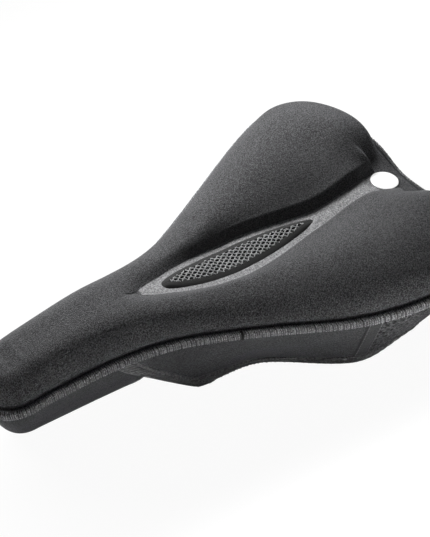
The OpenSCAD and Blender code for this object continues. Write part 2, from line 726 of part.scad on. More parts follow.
module rear_hem() {
    color(hem_colour)
    mirrored_shell(tail_grid(1, 1 - hem_share, 1, -hem_out), tail_grid(1, 1 - hem_share, 1, skirt_t), "l");
}

module seam_tape() {
    color(hem_colour)
    skirt_patch(function (h) seam(h) + tape_w / 2, function (h) seam(h) - tape_w / 2,
        lip_share, 1 - hem_share - gap / skirt_h, -gap - tape_t, -gap, 2, skirt_steps);
}

module seam_tape_left() {
    seam_tape();
}

module seam_tape_right() {
    mirror([0, 1, 0]) seam_tape();
}

top_skin();
foam_core();
gel_insole_left();
gel_insole_right();
vent_net();
vent_border();
badge();
base_lining();
grip_dots();
edge_binding();
nose_pocket();
nose_hem();
side_panel_left();
side_panel_right();
front_hem_left();
front_hem_right();
side_hem_left();
side_hem_right();
rear_panel();
rear_hem();
seam_tape_left();
seam_tape_right();
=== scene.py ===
"""Looks of the padded saddle cover: fine meshes of its pieces, threads, materials, light and camera.

Sizes and curves are those of the part's source, in millimetres, lofted at a finer step.
"""
import math

import bmesh
import bpy
import numpy as np
from mathutils import Matrix


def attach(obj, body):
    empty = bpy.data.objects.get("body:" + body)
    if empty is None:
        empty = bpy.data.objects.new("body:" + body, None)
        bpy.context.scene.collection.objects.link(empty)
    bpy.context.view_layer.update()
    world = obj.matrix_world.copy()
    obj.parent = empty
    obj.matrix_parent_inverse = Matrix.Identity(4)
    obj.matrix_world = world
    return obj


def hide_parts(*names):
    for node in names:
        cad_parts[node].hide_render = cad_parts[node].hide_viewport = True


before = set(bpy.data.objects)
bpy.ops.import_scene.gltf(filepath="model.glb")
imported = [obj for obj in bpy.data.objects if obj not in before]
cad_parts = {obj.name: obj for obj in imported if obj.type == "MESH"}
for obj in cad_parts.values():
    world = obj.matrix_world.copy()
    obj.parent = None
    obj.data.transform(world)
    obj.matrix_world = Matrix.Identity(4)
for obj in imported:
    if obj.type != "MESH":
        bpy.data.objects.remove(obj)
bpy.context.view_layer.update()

MM = 0.001
TINY = 1e-6
MIRROR = np.array([1, -1, 1])
SIDES = (("left", 1), ("right", -1))

# Outline
LENGTH = 277  # nose tip to tail
WING_W = 178  # across the wings
TIP_W = 47  # nose at its tip
NOSE_W = 59  # nose where it starts to flare
TAPER_LEN = 70  # over which the nose widens
NOSE_LEN = 88  # nose tip to the start of the flare
WING_BACK = 33  # tail to the full width
NOSE_ROUND = 26  # length of the rounded nose end
TAIL_ROUND = 55  # length of the rounded tail corners
CORNER_POWER = 2.3  # fullness of the rounded ends
NOTCH_DEPTH = 6  # notch in the middle of the tail
NOTCH_W = 74

# Pad
FOOT_Z = 37.5  # foot of the pad along the nose, above the table
ARCH_H = 5.5  # rise of the foot along the nose
ARCH_AT = 70  # nose tip to the top of that rise
ARCH_FRONT = 65  # its reach to the nose tip
ARCH_BACK = 66  # its reach to the wings
TIP_DROOP = 2  # droop of the foot round the nose end
DROOP_LEN = 33
REAR_RISE = 13.5  # rise of the foot to the tail
RISE_AT = 178  # nose tip to the start of that rise
NOSE_H = 18.5  # pad above its foot along the nose
NECK_H = 15.5  # at the neck
WING_H = 22.5  # on the wings
TAIL_H = 17  # at the rear ends of the wings
NECK_AT = 138  # nose tip to the neck
NECK_RUN = 80  # neck to the height of the wings
PAD_ROUND = 38  # over which the wings round down to their foot
LOBE_ROUND = 18  # the same at the rear ends of the wings
RIDGE_W = 14  # flat top of the nose
FORK_FRONT = 60  # nose tip to the fork of that top into the wings
FORK_LEN = 65
FORK_W = 30
SIDE_BULGE = 1  # of the pad's side over its foot
FLANGE_W = 3  # sewn flange round the pad
RIM_DROOP = 0.8  # of the flange to its edge
LOBE_GAP = 50  # low middle of the tail
LOBE_SPAN = 94  # across the tail, where each wing reaches its height
RISE_SPAN = 170  # across the tail, where the foot reaches its height

# Relief channel
CHANNEL_FRONT = 99  # nose tip to the channel's front tip
CHANNEL_RAMP = 10  # dip that leads into the channel
CHANNEL_W = 35.5
CHANNEL_WIDEST = 162.5  # nose tip to the widest place
THROAT_W = 16.5  # behind the vent
THROAT_BACK = 49  # tail to the throat
FUNNEL_W = 44  # where the channel runs out at the tail
FLOOR_H = 6.5  # floor beside the vent, above the foot of the pad
TAIL_LIFT = 5.5  # rise of the floor behind the vent
TAIL_SLOPE = 0.2  # slope from the top of that rise to the tail
CROWN_BACK = 34  # tail to the top of that rise
LIP_H = 4.5  # raised edge above the floor
WALL_RUN = 3.7  # width of the wall beside the vent
FUNNEL_RUN = 4.5  # width of the wall at the tail
BED_RISE = 0.7  # floor above the solid's level bed, beside the vent
BED_FADE = 20  # behind the slot, where that ends
TIP_RISE = 10.5  # rise of the floor to the front tip
RAMP_AT = 158  # nose tip to the start of that rise

# Vent
SLOT_FRONT = 115  # nose tip to the slot
SLOT_LEN = 97
SLOT_W = 19
NET_MARGIN = 1.5  # net under the skin
NET_PITCH_X = 4
NET_PITCH_Y = 3
BORDER_W = 3.6  # smooth border that shows round the net
NET_CROWN = 2.4  # bulge of the net and its border
NET_LIFT = 0.6  # underside of the skin to the foot of the net
STRAND_R = 0.3
STRAND_WEAVE = 0.28  # rise and fall of a strand over its neighbours

# Layers
SKIN_T = 1
LINING_T = 0.8
NET_T = 0.8
BORDER_T = 0.5
FLOOR_PAD = 5  # foam under the channel's floor, with the net in it
GEL_H = 6  # gel at its middle
GEL_EDGE = 2
GEL_FRONT = 35  # front of the slot to the gel
GEL_BACK = 19  # tail to the gel
FOAM_EDGE = 1.4  # foam at the foot of the pad
FOAM_EASE = 2.5  # foam below the rounded rear ends of the skin
FOAM_LEAST = 0.4
GAP = 0.25  # clearance between layers
SEW_GAP = 0.5  # clearance at the sewn rim

# Rim
EDGE_T = 0.8  # overlocked edge
EDGE_REACH = 2.5  # over the flange
EDGE_UNDER = 2.2  # under the rim
STITCH = 1.15  # pitch of its threads
STITCH_R = 0.36
JOINT_AT = 154  # nose tip to the butt joint, along the rim
JOINT_R = 0.32
JOINT_UP = 0.3  # joint above the threads

# Skirt
SKIRT_T = 0.8
HEM_T = 1.8
HEM_W = 6
FRONT_HEM_W = 12  # along the length
HEM_IN = 13  # lower hem, in from the outline
CORNER_FLARE = 11  # of the front corner of each side panel
HIP_BULGE = 7  # of the lower hem beside the wings
HIP_AT = 190  # nose tip to the middle of that bulge
HEM_REACH = 40  # of the bulge and of the flare
TAIL_IN = 12  # further in round the tail
PANEL_FRONT = 68  # nose tip to the top of the side panel
PANEL_SWEEP = 44  # run of its front edge on the way down
SEAM_BACK = 78  # tail to the seam of side and rear panels
SEAM_LEAN = 9
TAPE_W = 8
TAPE_T = 0.5
ZIGZAG_R = 0.34
TAPE_THREAD_R = 0.22

# Nose pocket
POCKET_LEN = 81  # nose tip to the mouth, at the bottom
POCKET_LAP = 14  # further back at the rim
POCKET_POWER = 2.1  # fullness of its section
SOLE_CUT = 0.5  # depth to which the bottom is flat
POCKET_GAP = 1  # to the side panels

# Trim
BADGE_D = 16
BADGE_T = 0.6
BADGE_BACK = 13.5  # tail notch to the middle of the badge
DOT_D = 5
DOT_H = 1.2
DOT_PITCH = 13

# Shape of the curves, as powers and shares
ROUND_POWER = 0.7
CHANNEL_POWER = 0.6
SLOT_POWER = 0.6
SLOT_LEAD = 0.85
RAMP_LEAD = 2
TIP_POWER = 1.3
LIP_MOST = 0.6
SLOPE_POWER = 1.8
SWELL_LEAD = 0.4
EDGE_LEAST = 0.06
EDGE_MOST = 0.8
WALL_MOST = 0.35
HEM_LINE = 0.4
FRONT_LINE = 0.5
GEL_LEAST = 0.25
GEL_OUT = 0.45
GEL_POWER = 0.6
END_CROWD = 2.2
DOME_CROWD = 1.9
BASE_CROWD = 1.5
POCKET_CROWD = 1.7


def corner(u):
    return np.maximum(0, 1 - np.abs(u) ** CORNER_POWER) ** (1 / CORNER_POWER)


# Places along the length
NOSE_X = LENGTH / 2
TAIL_X = -LENGTH / 2 - TAIL_ROUND * (1 - corner(NOTCH_W / WING_W))
NOSE_C = NOSE_X - NOSE_ROUND
TAIL_C = TAIL_X + TAIL_ROUND
FLARE_X = NOSE_X - NOSE_LEN
WING_X = TAIL_X + WING_BACK
ARCH_X = NOSE_X - ARCH_AT
NECK_X = NOSE_X - NECK_AT
CROWN_X = TAIL_X + CROWN_BACK
FORK_X = NOSE_X - FORK_FRONT
RISE_X = NOSE_X - RISE_AT
TIP_X = NOSE_X - CHANNEL_FRONT
RAMP_X = NOSE_X - RAMP_AT
WIDEST_X = NOSE_X - CHANNEL_WIDEST
THROAT_X = TAIL_X + THROAT_BACK
SLOT_FRONT_X = NOSE_X - SLOT_FRONT
SLOT_REAR_X = SLOT_FRONT_X - SLOT_LEN
GEL_FRONT_X = SLOT_FRONT_X - GEL_FRONT
GEL_REAR_X = TAIL_X + GEL_BACK
SEAM_X = TAIL_X + SEAM_BACK
PANEL_FRONT_X = NOSE_X - PANEL_FRONT
HIP_X = NOSE_X - HIP_AT
CORNER_X = PANEL_FRONT_X - PANEL_SWEEP

# Distances in from the outline
EDGE_IN = EDGE_T + GAP
FOOT_IN = EDGE_IN + FLANGE_W
SEAT_IN = FOOT_IN + SKIN_T + GAP
SKIRT_IN = EDGE_UNDER + SEW_GAP
POCKET_IN = SKIRT_IN + SKIRT_T + POCKET_GAP

# Heights, and shares of the skirt's height
FLOOR_Z = FOOT_Z + FLOOR_H
LINING_Z = -SKIN_T - GAP
CROWN_Z = FLOOR_Z - FLOOR_PAD
FOAM_FLOOR = SKIN_T + BORDER_T + NET_T + 3 * GAP
HEM_OUT = HEM_T - SKIRT_T
SKIRT_H = FOOT_Z - RIM_DROOP + LINING_Z - LINING_T - SEW_GAP
HEM_SHARE = HEM_W / SKIRT_H
LIP_SHARE = (2 * EDGE_T + GAP) / SKIRT_H
PANEL_LOW = 1 - HEM_SHARE - GAP / SKIRT_H


def mix(a, b, u):
    return a + (b - a) * u


def clip(u):
    return np.clip(u, 0, 1)


def smooth(a, b, v):
    u = clip((v - a) / (b - a))
    return u * u * (3 - 2 * u)


def ease_out(u):
    return 1 - (1 - u) ** 2


def hill(u):
    """Half a sine wave, from 0 over 1 to 0."""
    return np.sin(math.pi * u)


def pillow(u, power=4):
    """Flat cushion across a band: 0 at both edges and 1 between them."""
    return (1 - np.abs(2 * u - 1) ** power) ** 0.5


def mesh_of(u, v):
    return np.meshgrid(u, v, indexing="ij")


def shares(rows, cols):
    return mesh_of(np.linspace(0, 1, rows), np.linspace(0, 1, cols))


# Plan outline at station x, as half widths


def flare(x):
    return smooth(FLARE_X, WING_X, x)


def nose_half(x):
    return mix(TIP_W, NOSE_W, clip((NOSE_C - x) / TAPER_LEN)) / 2


def main_half(x):
    return mix(nose_half(x), WING_W / 2, flare(x))


def nose_u(x):
    return clip((x - NOSE_C) / NOSE_ROUND)


def tail_u(x):
    return clip((TAIL_C - x) / TAIL_ROUND)


def cap(x):
    return corner(nose_u(x)) * corner(tail_u(x))


def out_y(x):
    return main_half(x) * cap(x)


def dome_in(x):
    """Distance from the outline to the crest of the pad."""
    ridge = mix(RIDGE_W, FORK_W, smooth(FORK_X, FORK_X - FORK_LEN, x)) / 2
    front = mix(nose_half(x) - ridge, PAD_ROUND, flare(x) ** ROUND_POWER)
    return mix(front, LOBE_ROUND, tail_u(x))


def notch(x, d):
    deep = NOTCH_DEPTH * (1 - smooth(0, NOTCH_W / 2, out_y(x))) * (1 - clip(d / dome_in(x)))
    return np.where(x > TAIL_C, 0, deep)


def inset(x, d):
    """Plan point of the outline at station x, set in by d."""
    at_nose = NOSE_C + nose_u(x) * (NOSE_ROUND - d)
    at_tail = TAIL_C - tail_u(x) * (TAIL_ROUND - d)
    px = np.where(x > NOSE_C, at_nose, np.where(x < TAIL_C, at_tail, x))
    return px + notch(x, d), (main_half(x) - d) * cap(x)


def crest_pt(x):
    return inset(x, dome_in(x))


def channel_half(x):
    lead = np.sin(math.pi / 2 * clip((TIP_X - x) / (TIP_X - WIDEST_X)))
    front = CHANNEL_W / 2 * lead ** CHANNEL_POWER
    middle = mix(CHANNEL_W, THROAT_W, smooth(WIDEST_X, THROAT_X, x)) / 2
    rear = mix(THROAT_W, FUNNEL_W, clip((THROAT_X - x) / THROAT_BACK) ** 2) / 2
    return np.where(x > WIDEST_X, front, np.where(x > THROAT_X, middle, rear))


def slot_half(x, grow=0.0):
    u = clip((SLOT_FRONT_X + grow - x) / (SLOT_LEN + 2 * grow))
    return (SLOT_W / 2 + grow) * np.maximum(0, hill(u ** SLOT_LEAD)) ** SLOT_POWER


# Heights at station x


def dome(u):
    return np.sqrt(np.maximum(0, ease_out(u)))


def lobe(x):
    """Share of the pad's height, less than 1 only across the tail."""
    share = clip((2 * out_y(x) - LOBE_GAP) / (LOBE_SPAN - LOBE_GAP))
    return np.where(x > TAIL_C, 1, dome(share))


def side_height(x):
    reach = np.where(x > ARCH_X, (x - ARCH_X) / ARCH_FRONT, (ARCH_X - x) / ARCH_BACK)
    arch = ARCH_H * (1 - smooth(0, 1, reach)) - TIP_DROOP * smooth(NOSE_X - DROOP_LEN, NOSE_X, x)
    return FOOT_Z + arch + REAR_RISE * smooth(RISE_X, TAIL_X, x)


def floor_height(x):
    rise = TAIL_LIFT * smooth(SLOT_REAR_X, CROWN_X, x)
    return FLOOR_Z + rise - TAIL_SLOPE * np.maximum(0, CROWN_X - x)


def bed_rise(x):
    """Rise of the skin's floor above that height: a little beside the vent, more to the front tip."""
    front = TIP_RISE * clip((x - RAMP_X) / (TIP_X - RAMP_X)) ** TIP_POWER
    rear = smooth(RAMP_X, SLOT_REAR_X - BED_FADE, x)
    return np.where(x > RAMP_X, front + BED_RISE, mix(BED_RISE, 0, rear))


def foot_height(x):
    share = np.where(x > TAIL_C, 1, smooth(LOBE_GAP / 2, RISE_SPAN / 2, out_y(x)))
    return mix(floor_height(inset(x, FOOT_IN)[0]), side_height(x), share)


def flange_z(x, d):
    return foot_height(x) - RIM_DROOP * np.maximum(0, (FOOT_IN - d) / FLANGE_W)


def crest(x):
    low = floor_height(crest_pt(x)[0])
    front = mix(NOSE_H, NECK_H, smooth(ARCH_X, NECK_X, x))
    wing = mix(front, WING_H, smooth(NECK_X, NECK_X - NECK_RUN, x))
    tall = mix(wing, TAIL_H, smooth(RISE_X, TAIL_X, x))
    return mix(low, side_height(x) + tall, lobe(x))


def channel_share(x):
    return 1 - smooth(TIP_X - RAMP_LEAD, TIP_X + CHANNEL_RAMP, x)


def edge_y(mx, my, least):
    """Half width at the channel's edge on the spoke whose crest is at mx, my."""
    return np.minimum(np.maximum(channel_half(mx), least * my), EDGE_MOST * my)


def foot_y(mx, ye):
    """Half width at the foot of the channel's wall."""
    width = mix(WALL_RUN, FUNNEL_RUN, smooth(THROAT_X, TAIL_X + LOBE_ROUND, mx))
    return ye - np.minimum(width, WALL_MOST * ye)


def base_rim(x, d):
    low = foot_height(x) - FOAM_EDGE
    return LINING_Z + mix(flange_z(x, EDGE_IN), low, (d - EDGE_IN) / (SEAT_IN - EDGE_IN))


def under_rim(x, d):
    return base_rim(x, d) - LINING_T - SEW_GAP


# Grids of the pad and the base, left half: rows run back, columns run in

DOME_COLS = 46
TOP_COLS = 18
WALL_COLS = 18
FLOOR_COLS = 8
SLOT_COLS = 6
BASE_COLS = 26
MIDDLE_COLS = 12
LEAST_COLS = 4
FLANGE_STEPS = np.linspace(0, 1, 5)[:-1]
GRID_BLUR = 1.6  # rows or columns
END_HELD = 0.995  # share of a rounded end past which its rows stay as they are
INNER_SHIFT = 0.6  # of the channel's edge in a lower layer, per depth
EDGE_ROOM = 0.4  # most of that shift, as a share of the way to the crest
FOOT_ROOM = 0.6  # the same for the wall's foot, to the edge
SOFT_BLUR = 7.0  # of the wings' rear ends, in mm
SOFT_MARGIN = 5
SOFT_DOME = (0.75, 0.35)  # shares of the dome's columns where that blur starts and is full
SOFT_TOP = (0.35, 0.9)  # shares of the top's columns where it fades and ends
SOFT_RUN = 15  # either side of the start of the rounded tail
SOFT_ABOVE = (0.5, 3)  # heights above the floor where it starts and is full


def blur(a, sigma, axis):
    """Gaussian smoothing along one axis of a grid, with its ends held."""
    reach = max(1, int(3 * sigma))
    k = np.exp(-0.5 * (np.arange(-reach, reach + 1) / sigma) ** 2)
    k /= k.sum()
    b = np.moveaxis(a, axis, 0)
    padded = np.concatenate([2 * b[:1] - b[reach:0:-1], b, 2 * b[-1:] - b[-2:-reach - 2:-1]])
    out = sum(w * padded[i:i + len(b)] for i, w in enumerate(k))
    return np.moveaxis(out, 0, axis)


def stations(nose, middle, tail):
    """Places from the nose tip to the tail, close together at both ends, with the slot's ends."""
    t = np.linspace(0, 1, nose, endpoint=False)
    front = NOSE_C + NOSE_ROUND * (1 - t ** END_CROWD)
    t = np.linspace(1, 0, tail)[1:]
    rear = TAIL_C - TAIL_ROUND * (1 - t ** END_CROWD)
    x = np.concatenate([front, np.linspace(NOSE_C, TAIL_C, middle), rear])
    for end in (SLOT_FRONT_X, SLOT_REAR_X):
        x[np.argmin(np.abs(x - end))] = end
    return x


def soften_ends(g, x, first_top, n_dome, n_top):
    """Rounds the crest of each wing's rear end, by blurring its heights on a plan of 1 mm cells."""
    px = g[:, :, 0] - (TAIL_X - SOFT_MARGIN)
    py = g[:, :, 1] + SOFT_MARGIN
    shape = (int(WIDEST_X - TAIL_X + SOFT_MARGIN), int(WING_W / 2 + 2 * SOFT_MARGIN))
    ix = px.astype(int)
    iy = py.astype(int)
    good = (ix >= 0) & (ix < shape[0]) & (iy >= 0) & (iy < shape[1])
    good[:, :first_top - int(SOFT_DOME[0] * n_dome)] = False
    total = np.zeros(shape)
    count = np.zeros(shape)
    np.add.at(total, (ix[good], iy[good]), g[:, :, 2][good])
    np.add.at(count, (ix[good], iy[good]), 1)
    height = total / np.maximum(count, 1)
    weight = (count > 0).astype(float)
    for axis in (0, 1):
        height = blur(height, SOFT_BLUR, axis)
        weight = blur(weight, SOFT_BLUR, axis)
    field = height / np.maximum(weight, 1e-3)
    fx = np.clip(px - 0.5, 0, shape[0] - 2)
    fy = np.clip(py - 0.5, 0, shape[1] - 2)
    cx = fx.astype(int)
    cy = fy.astype(int)
    near = mix(field[cx, cy], field[cx + 1, cy], fx - cx)
    far = mix(field[cx, cy + 1], field[cx + 1, cy + 1], fx - cx)
    col = np.arange(g.shape[1]) - first_top
    across = smooth(-SOFT_DOME[0] * n_dome, -SOFT_DOME[1] * n_dome, col)
    across *= 1 - smooth(SOFT_TOP[0] * n_top, SOFT_TOP[1] * n_top, col)
    along = smooth(TAIL_C + SOFT_RUN, TAIL_C - SOFT_RUN, x)
    above = smooth(*SOFT_ABOVE, g[:, :, 2] - floor_height(g[:, :, 0]))
    share = np.where(good, across[None] * along[:, None] * above, 0)
    g[:, :, 2] = mix(g[:, :, 2], mix(near, far, fy - cy), share)


def columns(cols):
    return np.stack([np.stack(c, -1) for c in cols], 1)


def steps(n):
    return np.linspace(0, 1, n + 1)[1:]


def pad_grid(x, d, d_floor, fine=1.0):
    """Surface at depth d under the pad's, and d_floor under its floor, and the column at the slot's edge."""
    counts = (DOME_COLS, TOP_COLS, WALL_COLS, FLOOR_COLS, SLOT_COLS)
    n_dome, n_top, n_wall, n_floor, n_slot = [max(LEAST_COLS, int(v * fine)) for v in counts]
    mx, my = crest_pt(x)
    top = crest(x) - d
    low = foot_height(x) - d
    share = channel_share(mx)
    low_bed = floor_height(mx) + bed_rise(mx)
    bed = mix(crest(x), low_bed, share) - mix(d, d_floor, share * (1 - tail_u(x)))
    rise = np.maximum(0, crest(x) - low_bed)
    lip = np.minimum(LIP_H, LIP_MOST * rise) * smooth(TIP_X, SLOT_FRONT_X, mx)
    drop = share * (rise - lip)
    ye = edge_y(mx, my, EDGE_LEAST)
    yb = foot_y(mx, ye)
    y_edge = np.minimum(ye + INNER_SHIFT * d, mix(ye, my, EDGE_ROOM))
    y_foot = np.minimum(yb + d, mix(yb, ye, FOOT_ROOM))
    inside = (x <= SLOT_FRONT_X) & (x >= SLOT_REAR_X)
    y_slot = np.where(inside, slot_half(x), 0.5 * y_foot)
    cols = []
    for s in FLANGE_STEPS:
        z = mix(flange_z(x, EDGE_IN), foot_height(x), s) - d
        cols.append((*inset(x, mix(EDGE_IN, FOOT_IN + d, s)), z))
    for u in np.linspace(0, 1, n_dome) ** DOME_CROWD:
        v = u ** SWELL_LEAD
        swell = SIDE_BULGE * 4 * v * (1 - v) * lobe(x)
        z = mix(low, top, mix(u, dome(u), lobe(x)))
        cols.append((*inset(x, mix(FOOT_IN + d, dome_in(x), u) - swell), z))
    first_top = len(cols)
    for v in steps(n_top):
        cols.append((mx, mix(my, y_edge, v), top - drop * v ** SLOPE_POWER))
    for v in steps(n_wall):
        cols.append((mx, mix(y_edge, y_foot, v), mix(top - drop, bed, v)))
    foot_col = len(cols) - 1
    for v in steps(n_floor):
        cols.append((mx, mix(y_foot, y_slot, v), bed))
    slot_col = len(cols) - 1
    for v in steps(n_slot):
        cols.append((mx, y_slot * (1 - v), bed))
    g = columns(cols)
    soft = slice(first_top - n_dome // 2, slot_col)
    g[:, soft, 2] = blur(g[:, :, 2], GRID_BLUR * fine, 1)[:, soft]
    soften_ends(g, x, first_top, n_dome, n_top)
    free = (nose_u(x) <= END_HELD) & (tail_u(x) <= END_HELD)
    g[free, :foot_col, 1:] = blur(g[:, :foot_col], GRID_BLUR, 0)[free][:, :, 1:]
    return g, slot_col


def base_grid(x, d):
    """Surface at depth d under the top of the lining."""
    mx, my = crest_pt(x)
    cols = []
    for s in FLANGE_STEPS:
        at = mix(EDGE_IN, SEAT_IN, s)
        cols.append((*inset(x, at), base_rim(x, at) - d))
    for u in np.linspace(0, 1, BASE_COLS) ** BASE_CROWD:
        z = mix(base_rim(x, SEAT_IN), CROWN_Z, ease_out(u)) - d
        cols.append((*inset(x, mix(SEAT_IN, dome_in(x), u)), z))
    for v in steps(MIDDLE_COLS):
        cols.append((mx, my * (1 - v), np.full_like(x, CROWN_Z - d)))
    return columns(cols)


# Skirt and pocket at station x and share h of the way down, d in from their outer surface


def bump(x, middle):
    return 1 - smooth(0, HEM_REACH, np.abs(x - middle))


def hem_draw(x):
    out = CORNER_FLARE * bump(x, CORNER_X) + HIP_BULGE * bump(x, HIP_X)
    return HEM_IN - SKIRT_IN - out + TAIL_IN * smooth(HIP_X, WING_X, x)


def skirt_pt(x, h, d):
    px, py = inset(x, SKIRT_IN + hem_draw(x) * mix(h * h, h, HEM_LINE) + d)
    return np.stack([px, py, mix(under_rim(x, SKIRT_IN), 0, h)], -1)


def seam(h):
    return SEAM_X + SEAM_LEAN * h


def front_edge(h):
    return PANEL_FRONT_X - PANEL_SWEEP * mix(h, h * h, FRONT_LINE)


def mouth(h):
    return NOSE_X - POCKET_LEN - POCKET_LAP * (1 - smooth(0, 1, h))


def pocket_pt(x, h, d):
    half = main_half(x)
    top = under_rim(x, POCKET_IN)
    across = np.maximum(0, np.cos(math.pi / 2 * h)) ** (2 / POCKET_POWER)
    down = np.sin(math.pi / 2 * h) ** (2 / POCKET_POWER)
    px, py = inset(x, half - (half - POCKET_IN - d) * across)
    p = np.stack([px, py, np.maximum(d, top - (top + SOLE_CUT - d) * down)], -1)
    p[:, -1, 1] = 0
    return p


WAVES = 6


def wave(p, size, amount, seed):
    """Smooth irregular value at each point, about size across and up to amount."""
    r = np.random.default_rng(seed)
    out = np.zeros(p.shape[:-1])
    for _ in range(WAVES):
        v = r.normal(size=3)
        v *= 2 * math.pi / size / np.linalg.norm(v) * r.uniform(0.6, 1.6)
        out += np.sin(p @ v + r.uniform(0, 2 * math.pi))
    return out * amount / (WAVES / 2)


# Meshes


def new_object(name, points, faces, material):
    mesh = bpy.data.meshes.new(name)
    mesh.from_pydata((np.asarray(points) * MM).tolist(), [], [list(f) for f in faces])
    mesh.validate()
    mesh.polygons.foreach_set("use_smooth", np.ones(len(mesh.polygons), bool))
    mesh.materials.append(material)
    mesh.update()
    obj = bpy.data.objects.new(name, mesh)
    bpy.context.scene.collection.objects.link(obj)
    return obj


def weld(obj):
    """Joins the points that meet at a pole or on the middle line."""
    b = bmesh.new()
    b.from_mesh(obj.data)
    bmesh.ops.remove_doubles(b, verts=b.verts, dist=1e-6)
    bmesh.ops.dissolve_degenerate(b, dist=1e-7, edges=b.edges)
    b.to_mesh(obj.data)
    b.free()
    obj.data.update()


def grid_faces(rows, cols, start, keep, flip):
    i, j = mesh_of(np.arange(rows - 1), np.arange(cols - 1))
    i = i[keep]
    j = j[keep]
    a = start + i * cols + j
    b = start + (i + 1) * cols + j
    quads = np.stack([a, b, b + 1, a + 1], 1)
    return (quads[:, ::-1] if flip else quads).tolist()


def shell(name, outer, inner, material, keep=None, flip=False):
    """Closed mesh between two grids of points, with walls along every open edge."""
    rows, cols = outer.shape[:2]
    n = rows * cols
    keep = np.ones((rows - 1, cols - 1), bool) if keep is None else keep
    faces = grid_faces(rows, cols, 0, keep, flip) + grid_faces(rows, cols, n, keep, not flip)
    k = np.pad(keep, 1)
    walls = []
    for i in range(rows - 1):
        for j in np.nonzero(k[i + 1, :-1] != k[i + 1, 1:])[0]:
            a = i * cols + j
            b = a + cols
            walls.append([b, a, a + n, b + n] if k[i + 1, j] else [a, b, b + n, a + n])
    for j in range(cols - 1):
        for i in np.nonzero(k[:-1, j + 1] != k[1:, j + 1])[0]:
            a = i * cols + j
            b = a + 1
            walls.append([a, b, b + n, a + n] if k[i, j + 1] else [b, a, a + n, b + n])
    faces += walls if flip else [w[::-1] for w in walls]
    points = np.concatenate([outer.reshape(-1, 3), inner.reshape(-1, 3)])
    return new_object(name, points, faces, material)


def both_sides(grid):
    """A left half joined to its mirror image on the middle line."""
    return np.concatenate([grid, grid[:, -2::-1] * MIRROR], 1)


def ring_faces(start, rings, turns):
    """Quads between rings of points that follow each other, and a cap on the first and the last."""
    faces = []
    for i in range(rings - 1):
        for j in range(turns):
            a = start + i * turns
            k = (j + 1) % turns
            faces.append([a + j, a + turns + j, a + turns + k, a + k])
    last = start + (rings - 1) * turns
    return faces + [list(range(start, start + turns)), list(range(last, last + turns))[::-1]]


class Threads:
    """Many tubes of thread in one mesh."""

    def __init__(self):
        self.points = []
        self.faces = []
        self.count = 0

    def tube(self, line, radius, sides=5):
        line = np.asarray(line, float)
        t = np.gradient(line, axis=0)
        t /= np.maximum(np.linalg.norm(t, axis=1, keepdims=True), TINY)
        steep = np.abs(t[:, 2:]) > 0.8
        a = np.cross(t, np.where(steep, np.array([[1.0, 0, 0]]), np.array([[0, 0, 1.0]])))
        a /= np.maximum(np.linalg.norm(a, axis=1, keepdims=True), TINY)
        b = np.cross(t, a)
        turn = np.linspace(0, 2 * math.pi, sides, endpoint=False)[None, :, None]
        ring = line[:, None] + radius * (a[:, None] * np.cos(turn) + b[:, None] * np.sin(turn))
        self.points.append(ring.reshape(-1, 3))
        self.faces += ring_faces(self.count, len(line), sides)
        self.count += len(line) * sides

    def make(self, name, material):
        return new_object(name, np.concatenate(self.points), self.faces, material)


# Materials

GRAIN_SPREAD = (0.38, 0.62)  # values of the fine noise between full dark and full light
PATCH_SPREAD = (0.3, 0.7)
PATCH_SIZE = 22
CELL_SIZE = 1.25  # knit cells against the grain
CELL_FAR = 0.8
CELL_SHARE = 0.6  # their part of the contrast


def set_sockets(node, values):
    """Sets sockets by name, with an underscore for each space."""
    for name, value in values.items():
        node.inputs[name.replace("_", " ")].default_value = value


def add(tree, kind, operation=None, **values):
    node = tree.nodes.new(kind)
    if operation:
        node.operation = operation
    set_sockets(node, values)
    return node


def remap(tree, socket, least, most, low, high):
    node = add(tree, "ShaderNodeMapRange", From_Min=least, From_Max=most, To_Min=low, To_Max=high)
    tree.links.new(socket, node.inputs["Value"])
    return node.outputs[0]


def combine(tree, operation, a, b):
    node = add(tree, "ShaderNodeMath", operation)
    tree.links.new(a, node.inputs[0])
    tree.links.new(b, node.inputs[1])
    return node.outputs[0]


